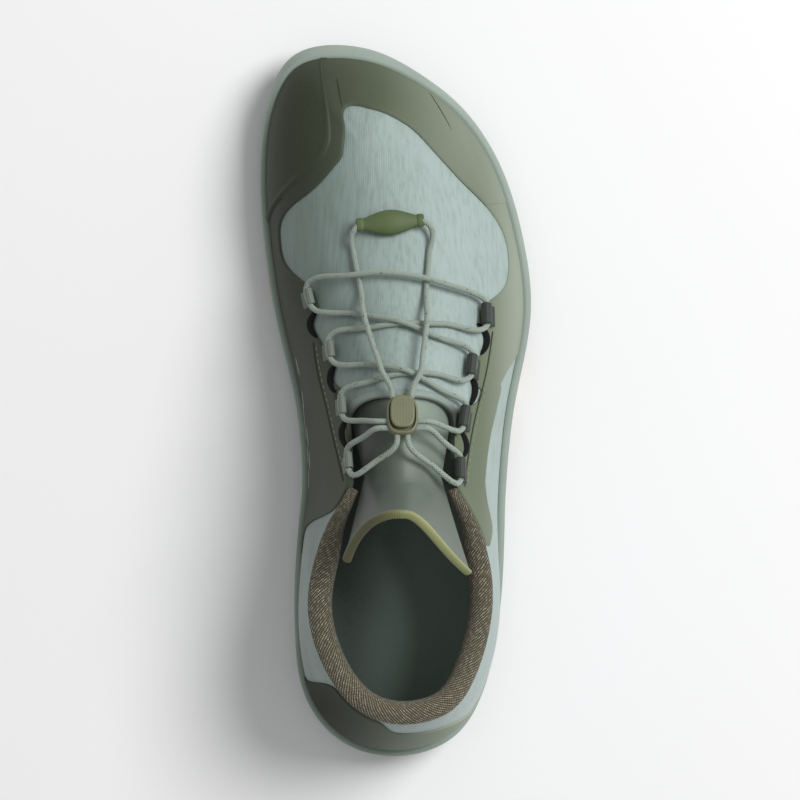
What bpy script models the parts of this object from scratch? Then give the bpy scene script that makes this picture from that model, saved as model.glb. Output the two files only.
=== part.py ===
"""A right barefoot trail shoe: thin lugged outsole, one-piece hollow upper, film overlays, padded collar,
tongue, insole and an elastic lace held by a cord lock.

Frame: metres, +Z up, +Y to the toe, +X to the outer (lateral) side, the floor at z = 0, and the origin on the
floor under the middle of the shoe.

The foot's form comes from one function, last_points: a wall curve that rises from the sole's edge to the ridge
along the top of the foot. A place on it has two numbers. q goes round the shoe: 0 at the back of the heel, +1 at
the toe along the inner (medial) side and -1 at the toe along the outer side, so its size s is a station shared by
both sides. v climbs the wall, from 0 at the sole to 1 at the opening's edge or the ridge. The upper, its overlays,
the sole's rim, the tongue, the collar and the lace all take their place from it.
"""

import math
from collections import namedtuple

import bmesh
import bpy
import numpy as np

MM = 0.001

# Main sizes of the shoe, a European 42
SHOE_LENGTH = 285 * MM
BALL_WIDTH = 108.8 * MM
HEEL_WIDTH = 71.5 * MM
INSTEP_HEIGHT = 76 * MM
HEEL_HEIGHT = 72 * MM
TONGUE_RISE = 14 * MM

# Sole
LUG_DEPTH = 4 * MM
TREAD_BASE = 2.5 * MM
TOE_SPRING = 9 * MM
HEEL_LIFT = 2.5 * MM
RIM_HEIGHT = 12 * MM
RIM_LIP = 1.3 * MM
SOLE_TUCK = 2.4 * MM
TREAD_PITCH = 16.9 * MM
LUG_ARM_WIDTH = 6.2 * MM
LUG_ARM_LENGTH = 7.4 * MM
TREAD_STRETCH = 1.15
HEEL_STUD = 7.4 * MM
INSERT_PAD = 1.1 * MM

# Walls and layers
UPPER_WALL = 1.8 * MM
OVERLAY_FILM = 0.8 * MM
INSOLE_THICKNESS = 3 * MM
TONGUE_THICKNESS = 3 * MM
BINDING_WIDTH = 2.6 * MM
GAP = 0.3 * MM

# Collar and throat
COLLAR_WIDTH = 9.5 * MM
COLLAR_TOP = 6.2 * MM
COLLAR_DEPTH = 15 * MM
THROAT_HALF_WIDTH = 20.5 * MM
TONGUE_HALF_WIDTH = 17.4 * MM
TONGUE_FLARE = 5.8 * MM
TONGUE_LEAN = 1.5 * MM

# Lace and its fittings
CORD = 2.2 * MM
CORD_CLEARANCE = 0.25 * MM
LOOP_BAND = 0.8 * MM
LOOP_LENGTH = 6.5 * MM
LOOP_TAB = 4.5 * MM
TOGGLE_WIDTH = 13 * MM
TOGGLE_LENGTH = 15.5 * MM
TOGGLE_HEIGHT = 5.4 * MM
TOGGLE_CORNER = 3.2 * MM
BUTTON_WIDTH = 8.8 * MM
BUTTON_LENGTH = 12.6 * MM
BUTTON_HEIGHT = 1.6 * MM
TAB_LENGTH = 27 * MM
TAB_WIDTH = 10.2 * MM
TAB_HEIGHT = 5 * MM

# The sole's outline, one row for each station s from heel to toe. Across is a share of the named width, along a
# share of the shoe's length, both from the origin; the inner side lies at -X.
Outline = namedtuple("Outline", "station width inner_across inner_along outer_across outer_along")
OUTLINE = (
    Outline(0.000, HEEL_WIDTH, 0.014, -0.500, 0.014, -0.500),
    Outline(0.067, HEEL_WIDTH, -0.294, -0.479, 0.301, -0.472),
    Outline(0.122, HEEL_WIDTH, -0.462, -0.426, 0.424, -0.421),
    Outline(0.200, HEEL_WIDTH, -0.519, -0.333, 0.510, -0.333),
    Outline(0.294, BALL_WIDTH, -0.344, -0.225, 0.380, -0.225),
    Outline(0.390, BALL_WIDTH, -0.341, -0.112, 0.407, -0.112),
    Outline(0.486, BALL_WIDTH, -0.370, 0.000, 0.443, 0.000),
    Outline(0.592, BALL_WIDTH, -0.445, 0.121, 0.501, 0.121),
    Outline(0.687, BALL_WIDTH, -0.490, 0.235, 0.474, 0.228),
    Outline(0.773, BALL_WIDTH, -0.502, 0.330, 0.392, 0.330),
    Outline(0.847, BALL_WIDTH, -0.481, 0.412, 0.262, 0.407),
    Outline(0.906, BALL_WIDTH, -0.418, 0.471, 0.115, 0.454),
    Outline(0.955, BALL_WIDTH, -0.326, 0.495, -0.055, 0.489),
    Outline(1.000, BALL_WIDTH, -0.207, 0.500, -0.207, 0.500),
)

# The wall's form at the same stations: how far the upper stands in from the sole's edge, the rise of the wall and
# its reach under the ridge as shares of its own height and span, its bulge as a share of the ball width, and the
# height of the sole's rim as a share of RIM_HEIGHT.
Wall = namedtuple("Wall", "inset inner_rise outer_rise inner_bulge outer_bulge inner_reach outer_reach rim")
WALL = (
    Wall(0.024, 0.40, 0.40, 0.010, 0.010, 0.45, 0.45, 1.15),
    Wall(0.022, 0.40, 0.40, 0.020, 0.030, 0.45, 0.45, 1.05),
    Wall(0.020, 0.40, 0.40, 0.045, 0.064, 0.45, 0.45, 0.96),
    Wall(0.019, 0.42, 0.42, 0.063, 0.070, 0.45, 0.45, 0.92),
    Wall(0.022, 0.45, 0.42, 0.060, 0.035, 0.45, 0.45, 0.90),
    Wall(0.025, 0.46, 0.42, 0.035, 0.010, 0.44, 0.44, 0.90),
    Wall(0.027, 0.47, 0.38, 0.030, 0.010, 0.44, 0.46, 0.90),
    Wall(0.028, 0.50, 0.38, 0.030, 0.015, 0.46, 0.50, 0.92),
    Wall(0.028, 0.54, 0.40, 0.030, 0.015, 0.50, 0.54, 0.95),
    Wall(0.029, 0.56, 0.44, 0.030, 0.018, 0.52, 0.54, 1.00),
    Wall(0.031, 0.56, 0.48, 0.026, 0.020, 0.52, 0.54, 1.08),
    Wall(0.034, 0.54, 0.50, 0.020, 0.020, 0.52, 0.54, 1.15),
    Wall(0.037, 0.52, 0.50, 0.018, 0.018, 0.52, 0.54, 1.20),
    Wall(0.038, 0.50, 0.50, 0.018, 0.018, 0.54, 0.54, 1.22),
)

# The ridge along the top of the foot, from the front of the ankle to the toes, and the station whose wall meets it
Ridge = namedtuple("Ridge", "station along across height")
RIDGE = (
    Ridge(0.330, -0.183, 0.005, 1.330),
    Ridge(0.360, -0.151, 0.005, 1.245),
    Ridge(0.390, -0.119, 0.005, 1.170),
    Ridge(0.430, -0.070, 0.003, 1.090),
    Ridge(0.455, -0.035, 0.001, 1.042),
    Ridge(0.505, 0.004, 0.000, 0.985),
    Ridge(0.592, 0.119, -0.018, 0.805),
    Ridge(0.687, 0.211, -0.050, 0.705),
    Ridge(0.773, 0.277, -0.087, 0.660),
    Ridge(0.847, 0.323, -0.119, 0.630),
    Ridge(0.906, 0.347, -0.138, 0.612),
    Ridge(0.955, 0.361, -0.147, 0.602),
    Ridge(1.000, 0.365, -0.151, 0.598),
)

# The collar's edge: half widths as shares of the heel's width, height as a share of the heel's, and how far the wall
# leans out below the edge as a share of the ball width
Collar = namedtuple("Collar", "station inner_half outer_half along height inner_lean outer_lean")
COLLAR = (
    Collar(0.000, 0.000, 0.000, -0.443, 1.000, 0.075, 0.075),
    Collar(0.067, -0.235, 0.250, -0.426, 0.985, 0.070, 0.070),
    Collar(0.122, -0.380, 0.375, -0.388, 0.940, 0.055, 0.060),
    Collar(0.200, -0.505, 0.480, -0.308, 0.850, 0.035, 0.055),
    Collar(0.294, -0.470, 0.468, -0.214, 0.815, 0.030, 0.050),
    Collar(0.350, -0.385, 0.385, -0.158, 0.920, 0.045, 0.060),
    Collar(0.400, -0.285, 0.290, -0.106, 1.060, 0.060, 0.070),
    Collar(0.430, -0.270, 0.275, -0.075, 1.070, 0.060, 0.070),
)
COLLAR_CENTRE = 0.012
COLLAR_PULL = 0.30

# Half width of the throat opening, as a share of THROAT_HALF_WIDTH, back to front
THROAT_STATIONS = (0.330, 0.360, 0.390, 0.430, 0.455)
THROAT_SHARES = (1.42, 1.22, 1.00, 1.00, 1.02)
THROAT_FRONT = 0.505
COLLAR_BLEND = (0.335, 0.400)

# Film overlays: the v up the wall at which each film starts and ends, at each station. A low of 0 tucks behind the
# sole's rim.
Edge = namedtuple("Edge", "station low high")
TOE_CAP_INNER = (
    Edge(0.734, 0.00, 0.48),
    Edge(0.758, 0.00, 0.62),
    Edge(0.795, 0.00, 0.74),
    Edge(0.843, 0.00, 0.84),
    Edge(0.905, 0.00, 0.86),
    Edge(0.958, 0.00, 0.78),
    Edge(1.000, 0.00, 0.77),
)
TOE_CAP_OUTER = (
    Edge(0.730, 0.00, 0.45),
    Edge(0.772, 0.00, 0.54),
    Edge(0.818, 0.00, 0.61),
    Edge(0.873, 0.00, 0.65),
    Edge(0.917, 0.00, 0.70),
    Edge(0.955, 0.00, 0.77),
    Edge(1.000, 0.00, 0.77),
)
BIG_TOE_PANEL = (
    Edge(0.745, 0.00, 0.36),
    Edge(0.795, 0.00, 0.65),
    Edge(0.820, 0.00, 0.72),
    Edge(0.860, 0.00, 0.76),
    Edge(0.900, 0.00, 0.73),
    Edge(0.943, 0.00, 0.58),
    Edge(0.965, 0.00, 0.34),
)
QUARTER_INNER = (
    Edge(0.300, 0.00, 0.26),
    Edge(0.326, 0.00, 0.36),
    Edge(0.344, 0.00, 0.62),
    Edge(0.354, 0.00, 0.96),
    Edge(0.455, 0.00, 0.97),
    Edge(0.500, 0.00, 0.64),
    Edge(0.560, 0.00, 0.51),
    Edge(0.622, 0.00, 0.51),
    Edge(0.636, 0.00, 0.38),
    Edge(0.660, 0.00, 0.28),
    Edge(0.690, 0.00, 0.29),
    Edge(0.731, 0.00, 0.47),
)
QUARTER_OUTER = (
    Edge(0.308, 0.90, 0.97),
    Edge(0.334, 0.62, 0.97),
    Edge(0.392, 0.59, 0.97),
    Edge(0.440, 0.53, 0.97),
    Edge(0.470, 0.46, 0.92),
    Edge(0.508, 0.31, 0.60),
    Edge(0.532, 0.22, 0.52),
    Edge(0.552, 0.00, 0.50),
    Edge(0.604, 0.00, 0.53),
    Edge(0.616, 0.00, 0.41),
    Edge(0.645, 0.00, 0.32),
    Edge(0.680, 0.00, 0.29),
    Edge(0.726, 0.00, 0.38),
)
HEEL_COUNTER_INNER = (
    Edge(0.000, 0.00, 0.82),
    Edge(0.030, 0.00, 0.90),
    Edge(0.060, 0.00, 0.96),
    Edge(0.122, 0.00, 0.96),
    Edge(0.136, 0.00, 0.60),
    Edge(0.152, 0.00, 0.28),
)
HEEL_COUNTER_OUTER = (
    Edge(0.000, 0.00, 0.82),
    Edge(0.052, 0.00, 0.76),
    Edge(0.105, 0.00, 0.47),
    Edge(0.150, 0.00, 0.30),
    Edge(0.195, 0.00, 0.24),
)

# Lace: where each webbing loop holds the cord, inner side first, as shares across of the ball width and along of
# the length. Each loop has a front and a back mouth.
Mouths = namedtuple("Mouths", "front_across front_along back_across back_along")
INNER_LOOPS = (
    Mouths(-0.311, 0.161, -0.290, 0.126),
    Mouths(-0.232, 0.087, -0.221, 0.051),
    Mouths(-0.187, 0.008, -0.181, -0.024),
    Mouths(-0.167, -0.063, -0.158, -0.106),
)
OUTER_LOOPS = (
    Mouths(0.296, 0.134, 0.296, 0.101),
    Mouths(0.241, 0.062, 0.230, 0.031),
    Mouths(0.212, -0.007, 0.197, -0.041),
    Mouths(0.186, -0.080, 0.185, -0.112),
)
BAR_BOW = 0.018
CROSSING_BOWS = (0.010, 0.015)
TOGGLE_ALONG = -0.028
TAB_PLACE = (-0.036, 0.243)
TAB_TILT = 0.09
PULL_INNER = ((-0.053, 0.031), (-0.109, 0.106), (-0.138, 0.154), (-0.167, 0.213))
PULL_OUTER = ((0.054, 0.031), (0.077, 0.098), (0.091, 0.150), (0.105, 0.205))

COLOURS = {
    "sage_rubber": (0.33, 0.42, 0.37, 1),
    "red_rubber": (0.36, 0.02, 0.05, 1),
    "insole_foam": (0.04, 0.055, 0.05, 1),
    "pale_textile": (0.44, 0.53, 0.51, 1),
    "olive_film": (0.17, 0.18, 0.14, 1),
    "collar_knit": (0.30, 0.24, 0.18, 1),
    "tongue_textile": (0.10, 0.12, 0.10, 1),
    "tongue_binding": (0.36, 0.35, 0.18, 1),
    "loop_webbing": (0.05, 0.06, 0.05, 1),
    "lace_cord": (0.50, 0.57, 0.53, 1),
    "toggle_plastic": (0.25, 0.25, 0.16, 1),
    "tab_rubber": (0.14, 0.20, 0.08, 1),
}
TABLE_STATIONS = tuple(row.station for row in OUTLINE)
WALL_ROWS = np.array([0, 0.09, 0.20, 0.33, 0.47, 0.60, 0.72, 0.82, 0.91, 1.0])
RIM_HUG = OVERLAY_FILM + 3 * GAP
FILM_TUCK = 0.03
ROW_SNAP = 0.008
MIN_STEP = 0.004
STEEPEST = 0.13
CAP_ROOM = 0.45 * CORD


# Curves

def spline(knots, values, closed=False):
    """A smooth cubic curve through rows of values: natural at its ends, or closed when first and last row agree."""
    x = np.asarray(knots, float)
    y = np.asarray(values, float).reshape(len(x), -1)
    step = np.diff(x)
    slope = np.diff(y, axis=0) / step[:, None]
    count = len(x)
    system = np.eye(count)
    right = np.zeros_like(y)
    for i in range(1, count - 1):
        system[i, i - 1 : i + 2] = step[i - 1], 2 * (step[i - 1] + step[i]), step[i]
        right[i] = 6 * (slope[i] - slope[i - 1])
    if closed:
        system[0, 0], system[0, 1] = 2 * (step[-1] + step[0]), step[0]
        system[0, -2] = step[-1]
        right[0] = 6 * (slope[0] - slope[-1])
        system[-1, 0], system[-1, -1] = -1, 1
    bend = np.linalg.solve(system, right)

    def at(t):
        t = np.asarray(t, float)
        flat = t.ravel()
        i = np.clip(np.searchsorted(x, flat, side="right") - 1, 0, count - 2)
        h, a, b = step[i][:, None], (x[i + 1] - flat)[:, None], (flat - x[i])[:, None]
        found = (bend[i] * a**3 + bend[i + 1] * b**3) / (6 * h)
        found += (y[i] / h - bend[i] * h / 6) * a + (y[i + 1] / h - bend[i + 1] * h / 6) * b
        return found.reshape(t.shape + (y.shape[1],))

    return at


def round_the_shoe(inner, outer):
    """A closed curve over q in -1..1 from values at the table's stations, inner side at +q, outer side at -q."""
    knots = [-s for s in reversed(TABLE_STATIONS)] + list(TABLE_STATIONS[1:])
    values = list(reversed(outer)) + list(inner[1:])
    return spline(knots, values, closed=True)


def smooth_step(low, high, x):
    t = np.clip((np.asarray(x, float) - low) / (high - low), 0, 1)
    return t * t * (3 - 2 * t)


def wrapped(q):
    """q brought back into -1..1, as the toe is both +1 and -1."""
    return (np.asarray(q, float) + 1) % 2 - 1


def unit(vectors):
    return vectors / np.maximum(np.linalg.norm(vectors, axis=-1, keepdims=True), 1e-12)


outline_curve = round_the_shoe(
    [(row.inner_across * row.width, row.inner_along * SHOE_LENGTH) for row in OUTLINE],
    [(row.outer_across * row.width, row.outer_along * SHOE_LENGTH) for row in OUTLINE],
)
wall_curve = round_the_shoe(
    [(w.inset, w.inner_rise, w.inner_bulge, w.inner_reach, w.rim) for w in WALL],
    [(w.inset, w.outer_rise, w.outer_bulge, w.outer_reach, w.rim) for w in WALL],
)
ridge_along = spline([r.station for r in RIDGE], [r.along * SHOE_LENGTH for r in RIDGE])
ridge_place = spline(
    [r.along * SHOE_LENGTH for r in RIDGE],
    [(r.across * BALL_WIDTH, r.height * INSTEP_HEIGHT) for r in RIDGE],
)
collar_curve = spline(
    [-c.station for c in reversed(COLLAR)] + [c.station for c in COLLAR[1:]],
    [
        (c.outer_half * HEEL_WIDTH, c.along * SHOE_LENGTH, c.height * HEEL_HEIGHT, c.outer_lean * BALL_WIDTH)
        for c in reversed(COLLAR)
    ]
    + [
        (c.inner_half * HEEL_WIDTH, c.along * SHOE_LENGTH, c.height * HEEL_HEIGHT, c.inner_lean * BALL_WIDTH)
        for c in COLLAR[1:]
    ],
)


# The form of the foot

def ground(along):
    """Height of the sole's underside over the floor: flat, with the toe's spring and a slight lift at the heel."""
    toe_start, heel_start = 0.30 * SHOE_LENGTH, -0.45 * SHOE_LENGTH
    toe = np.clip((along - toe_start) / (0.5 * SHOE_LENGTH - toe_start), 0, None)
    heel = np.clip((heel_start - along) / (0.05 * SHOE_LENGTH), 0, None)
    return TOE_SPRING * toe**2 + HEEL_LIFT * heel**2


def outward(q):
    """Plan direction out of the sole's edge at q."""
    ahead, behind = outline_curve(wrapped(np.asarray(q) + 1e-4)), outline_curve(wrapped(np.asarray(q) - 1e-4))
    run = unit(ahead - behind)
    return np.stack([-run[..., 1], run[..., 0]], axis=-1)


def edge_points(q, inset, height):
    """Points round the sole at a plan distance in from its edge, a height over the sole's underside."""
    q = np.asarray(q, float)
    plan = outline_curve(wrapped(q)) - outward(q) * np.broadcast_to(inset, q.shape)[..., None]
    return np.concatenate([plan, (ground(plan[..., 1]) + height)[..., None]], axis=-1)


def feather(q):
    """The upper's lower edge, just over the sole's floor."""
    q = wrapped(q)
    return edge_points(q, wall_curve(q)[..., 0] * BALL_WIDTH, LUG_DEPTH + TREAD_BASE + GAP)


def bezier(points, t):
    t = np.asarray(t, float)[..., None]
    a, b, c, d = points
    return a * (1 - t) ** 3 + 3 * b * t * (1 - t) ** 2 + 3 * c * t**2 * (1 - t) + d * t**3


def raised(plan_step, rise):
    return np.concatenate([plan_step, np.broadcast_to(rise, plan_step.shape[:-1])[..., None]], axis=-1)


def ridge_point(along):
    place = ridge_place(along)
    return np.stack([place[..., 0], np.asarray(along, float), place[..., 1]], axis=-1)


def closed_last(q, u):
    """The form closed over the top: from the sole's edge at u = 0 to the ridge at u = 1, without the opening."""
    q = wrapped(q)
    shape = wall_curve(q)
    foot = feather(q)
    along = ridge_along(np.abs(q))[..., 0]
    top = ridge_point(along)
    climb = top[..., 2] - foot[..., 2]
    low = foot + raised(outward(q) * (shape[..., 2] * BALL_WIDTH)[..., None], shape[..., 1] * climb)
    span = (foot - top)[..., :2] * shape[..., 3:4]
    tilt = (ridge_place(along + 0.5 * MM) - ridge_place(along - 0.5 * MM))[..., 1] / MM
    high = top + raised(span, span[..., 1] * tilt)
    return bezier((foot, low, high, top), u)


def collar_last(q, v):
    """The wall behind the throat: from the sole's edge up to the collar's edge."""
    q = wrapped(q)
    near = np.clip(q, -COLLAR[-1].station, COLLAR[-1].station)
    shape, edge = wall_curve(q), collar_curve(near)
    foot = feather(q)
    top = np.stack([edge[..., 0] + COLLAR_CENTRE * HEEL_WIDTH, edge[..., 1], edge[..., 2]], axis=-1)
    climb = top[..., 2] - foot[..., 2]
    low = foot + raised(outward(q) * (shape[..., 2] * BALL_WIDTH)[..., None], COLLAR_PULL * climb)
    high = top + raised(outward(q) * edge[..., 3:4], -COLLAR_PULL * climb)
    return bezier((foot, low, high, top), v)


def throat_half_width(s):
    """Half width of the throat at a station: a rounded slot that closes at THROAT_FRONT."""
    sides = np.interp(s, THROAT_STATIONS, THROAT_SHARES)
    back = THROAT_STATIONS[-1]
    closing = np.clip((s - back) / (THROAT_FRONT - back), 0, 1)
    return THROAT_HALF_WIDTH * sides * np.sqrt(1 - closing**2)


def throat_cut(q):
    """The u at which the closed form meets the throat's edge, 1 in front of the throat."""
    flat = wrapped(q).ravel()
    u = np.linspace(0.2, 1, 161)
    found = np.ones(len(flat))
    for i, one in enumerate(flat):
        if abs(one) >= THROAT_FRONT or abs(one) < THROAT_STATIONS[0] - 0.03:
            continue
        line = closed_last(np.full(len(u), one), u)
        half = np.abs(line[:, 0] - line[-1, 0])
        found[i] = np.interp(-throat_half_width(abs(one)), -half, u)
    return found.reshape(np.shape(q))


def last_points(q, v, lift=0.0):
    """Points of the upper's outer face, lifted off it by lift."""
    q, v = np.broadcast_arrays(np.asarray(q, float), np.asarray(v, float))
    points = bare_last(q, v)
    if lift:
        points = points + facing(bare_last, q, v) * lift
    return points


def bare_last(q, v):
    weight = smooth_step(*COLLAR_BLEND, np.abs(wrapped(q)))[..., None]
    row = throat_cut(q[0] if q.ndim > 1 else q)
    front = closed_last(q, v * row)
    return weight * front + (1 - weight) * collar_last(q, v)


def facing(surface, q, v):
    """Outward normals of a surface over q and v."""
    step = 1e-3
    inner = np.clip(v, step, 1 - step)
    climb = surface(q, inner + step) - surface(q, inner - step)
    round_it = surface(q + step, inner) - surface(q - step, inner)
    return unit(np.cross(climb, round_it))


def over_the_foot(across, along, lift=0.0):
    """A point above or below the closed form's top at a place in plan, found on the wall of the nearest station."""
    side = 1 if across < ridge_place(along)[0] else -1
    s = np.linspace(0.34, 0.80, 93)
    u = np.linspace(0.25, 1, 61)
    q, uu = np.meshgrid(side * s, u)
    points = closed_last(q, uu)
    away = np.hypot(points[..., 0] - across, points[..., 1] - along)
    row, column = np.unravel_index(np.argmin(away), away.shape)
    near = points[row, column]
    normal = facing(closed_last, q[row : row + 1, column], uu[row : row + 1, column])[0]
    drop = (normal[0] * (across - near[0]) + normal[1] * (along - near[1])) / normal[2]
    return np.array([across, along, near[2] - drop]) + normal * lift, normal


# Building in Blender

def material(name):
    found = bpy.data.materials.get(name)
    if found:
        return found
    made = bpy.data.materials.new(name)
    made.use_nodes = True
    shader = made.node_tree.nodes["Principled BSDF"]
    shader.inputs["Base Color"].default_value = COLOURS[name]
    shader.inputs["Roughness"].default_value = 0.45 if name in ("toggle_plastic", "olive_film") else 0.8
    return made


def mesh_object(name, points, faces, finish, weld=1e-6):
    mesh = bpy.data.meshes.new(name)
    mesh.from_pydata([tuple(p) for p in np.asarray(points, float)], [], faces)
    work = bmesh.new()
    work.from_mesh(mesh)
    bmesh.ops.remove_doubles(work, verts=work.verts, dist=weld)
    work.to_mesh(mesh)
    work.free()
    made = bpy.data.objects.new(name, mesh)
    SHOE.objects.link(made)
    mesh.materials.append(material(finish))
    mesh.shade_smooth()
    return made


def point_faces_out(obj):
    work = bmesh.new()
    work.from_mesh(obj.data)
    bmesh.ops.recalc_face_normals(work, faces=work.faces)
    work.to_mesh(obj.data)
    work.free()


def grid_faces(rows, columns, closed=False, start=0):
    """Quads over a grid of rows by columns, up a row and then along a column, so they face outwards."""
    last = columns if closed else columns - 1
    return [
        (
            start + r * columns + c,
            start + (r + 1) * columns + c,
            start + (r + 1) * columns + (c + 1) % columns,
            start + r * columns + (c + 1) % columns,
        )
        for r in range(rows - 1)
        for c in range(last)
    ]


def shell(name, grid, finish, wall, closed=False):
    """A sheet over a grid of points, given its wall inwards by Solidify."""
    rows, columns = grid.shape[:2]
    made = mesh_object(name, grid.reshape(-1, 3), grid_faces(rows, columns, closed), finish, weld=1e-5)
    solid = made.modifiers.new("wall", "SOLIDIFY")
    solid.thickness = wall
    solid.offset = -1
    solid.use_even_offset = True
    return made


def columns_round(stations):
    """q round the whole shoe from the heel along the inner side to the toe and back along the outer side."""
    return np.concatenate([stations, -np.asarray(stations[1:-1])[::-1]])


def ring_stack(name, rings, finish, bottom, top, across=4):
    """A solid from closed rings over the same q, with a ladder of rungs across its first and last ring."""
    count = len(rings[0])
    points = [ring for ring in rings]
    faces = grid_faces(len(rings), count, closed=True)
    start = len(rings) * count
    for ring_index, wanted in ((0, bottom), (len(rings) - 1, top)):
        if not wanted:
            continue
        ring = rings[ring_index]
        half = count // 2
        inner = [ring_index * count + i for i in range(half + 1)]
        outer = [ring_index * count + (count - i) % count for i in range(half + 1)]
        rungs = []
        for i in range(half + 1):
            if i in (0, half):
                rungs.append([inner[i]])
                continue
            a, b = ring[i], ring[count - i]
            share = np.linspace(0, 1, across + 1)[1:-1, None]
            points.append(a + (b - a) * share)
            rungs.append([inner[i]] + list(range(start, start + across - 1)) + [outer[i]])
            start += across - 1
        for before, after in zip(rungs, rungs[1:]):
            for k in range(across):
                corners = [
                    before[min(k, len(before) - 1)],
                    before[min(k + 1, len(before) - 1)],
                    after[min(k + 1, len(after) - 1)],
                    after[min(k, len(after) - 1)],
                ]
                face = [c for n, c in enumerate(corners) if c not in corners[:n]]
                faces.append(tuple(face))
    made = mesh_object(name, np.concatenate(points), faces, finish)
    point_faces_out(made)
    return made


def section_loft(name, sections, finish):
    """A solid through open rows of closed sections, capped at both ends."""
    count = len(sections[0])
    faces = grid_faces(len(sections), count, closed=True)
    faces.append(tuple(range(count)))
    faces.append(tuple((len(sections) - 1) * count + i for i in range(count)))
    made = mesh_object(name, np.concatenate(sections), faces, finish)
    point_faces_out(made)
    return made


def prism_faces(count):
    sides = [(i, (i + 1) % count, count + (i + 1) % count, count + i) for i in range(count)]
    return sides + [tuple(range(count)), tuple(count + i for i in range(count))]


def prism(name, low, high, finish):
    made = mesh_object(name, np.concatenate([low, high]), prism_faces(len(low)), finish)
    point_faces_out(made)
    return made


def applied(obj):
    """The object with its modifiers built into its mesh."""
    graph = bpy.context.evaluated_depsgraph_get()
    mesh = bpy.data.meshes.new_from_object(obj.evaluated_get(graph))
    obj.modifiers.clear()
    obj.data = mesh
    return obj


def joined(base, others):
    """Boolean union of the base with the other solids, which are then removed."""
    for other in others:
        union = base.modifiers.new("join", "BOOLEAN")
        union.operation = "UNION"
        union.solver = "EXACT"
        union.object = other
    applied(base)
    for other in others:
        bpy.data.objects.remove(other)
    return base


def cord(name, route, finish="lace_cord"):
    """A tube of the lace's diameter along a smooth curve through the route's points."""
    route = np.asarray(route, float)
    knots = np.concatenate([[0], np.cumsum(np.linalg.norm(np.diff(route, axis=0), axis=1))])
    count = max(4, min(40, int(knots[-1] / (2.6 * CORD)) + 1))
    line = spline(knots, route)(np.linspace(0, knots[-1], count))
    data = bpy.data.curves.new(name, "CURVE")
    data.dimensions = "3D"
    data.bevel_depth = CORD / 2
    data.bevel_resolution = 2
    data.use_fill_caps = True
    strand = data.splines.new("POLY")
    strand.points.add(len(line) - 1)
    for point, place in zip(strand.points, line):
        point.co = (*place, 1)
    made = bpy.data.objects.new(name, data)
    data.materials.append(material(finish))
    SHOE.objects.link(made)
    return made


# Sole

def rim_share(q):
    """The v at which the upper passes the top of the sole's rim."""
    v = np.linspace(0, 0.5, 51)
    wall = last_points(*np.meshgrid(q, v), RIM_HUG)
    height = wall[..., 2] - ground(wall[..., 1])
    rim_top = LUG_DEPTH + wall_curve(wrapped(q))[..., 4] * RIM_HEIGHT
    return np.array([np.interp(rim_top[i], height[:, i], v) for i in range(len(q))])


def make_outsole(columns):
    rim_v = rim_share(columns)
    floor_edge = last_points(columns, 0 * rim_v, RIM_HUG)
    floor_edge[:, 2] = ground(floor_edge[:, 1]) + LUG_DEPTH + TREAD_BASE
    rim_middle, rim_inner = last_points(columns, rim_v / 2, RIM_HUG), last_points(columns, rim_v, RIM_HUG)
    rim_outer = rim_inner + raised(outward(columns), 0.0) * RIM_LIP
    rim_outer[:, 2] -= 0.2 * RIM_LIP
    widest = edge_points(columns, 0.0, LUG_DEPTH + 0.30 * RIM_HEIGHT)
    under = edge_points(columns, SOLE_TUCK, LUG_DEPTH)
    rings = [under, widest, rim_outer, rim_inner, rim_middle, floor_edge]
    return ring_stack("outsole", rings, "sage_rubber", bottom=True, top=True, across=5)


def arm_star(centre, turn, scale):
    """A three-armed lug outline: square-ended arms and the notches between them."""
    half, length = LUG_ARM_WIDTH / 2 * scale, LUG_ARM_LENGTH * scale
    notch = half / math.sin(math.pi / 3)
    points = []
    for arm in range(3):
        angle = turn + arm * 2 * math.pi / 3
        along = np.array([math.cos(angle), math.sin(angle)])
        aside = np.array([-along[1], along[0]])
        points += [along * length - aside * half, along * length + aside * half]
        between = angle + math.pi / 3
        points.append(notch * np.array([math.cos(between), math.sin(between)]))
    return centre + np.array(points) * np.array([TREAD_STRETCH, 1])


def hexagon(centre, across_x, across_y):
    """A flat-topped hexagon of the tread's grid, stretched across the sole."""
    x, y = across_x / 2, across_y / 2
    corners = [(x, 0), (x / 2, y), (-x / 2, y), (-x, 0), (-x / 2, -y), (x / 2, -y)]
    return np.array([centre + np.array(corner) for corner in corners])


def room_inside(place):
    """How far a place in plan lies inside the sole's edge, negative outside."""
    q = np.linspace(-1, 1, 361)
    edge = outline_curve(q)
    away = place - edge
    nearest = np.argmin(np.hypot(away[:, 0], away[:, 1]))
    return -float(away[nearest] @ outward(q[nearest]))


def kept_inside(points, centre, margin):
    """Outline points drawn in towards the centre until they lie inside the sole's edge."""
    kept = []
    for point in points:
        for share in np.linspace(1, 0.2, 9):
            place = centre + (point - centre) * share
            if room_inside(place) >= margin:
                break
        kept.append(place)
    return np.array(kept)


def tread_cells():
    """Centres of the tread's cells in columns along the sole, every second column set half a pitch ahead."""
    cells = []
    columns = int(BALL_WIDTH / 2 / TREAD_PITCH) + 1
    rows = int(SHOE_LENGTH / 2 / TREAD_PITCH) + 1
    for column in range(-columns, columns + 1):
        for row in range(-rows, rows + 1):
            cells.append((column, row, cell_centre(column, row)))
    return cells


def cell_centre(column, row):
    first = np.array(plan_place(*TREAD_START))
    return first + np.array([column, row + 0.5 * (column % 2)]) * TREAD_PITCH


TREAD_START = (0.044, 0.013)
RED_CELLS = ((0, 4), (-1, 3), (-2, 3), (-3, 2))
ARCH_BARE = (-0.115, 0.050)
LUG_ROOM = 4 * MM
LUG_MARGIN = SOLE_TUCK + 0.8 * MM
LUG_TAPER = 0.86


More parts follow.
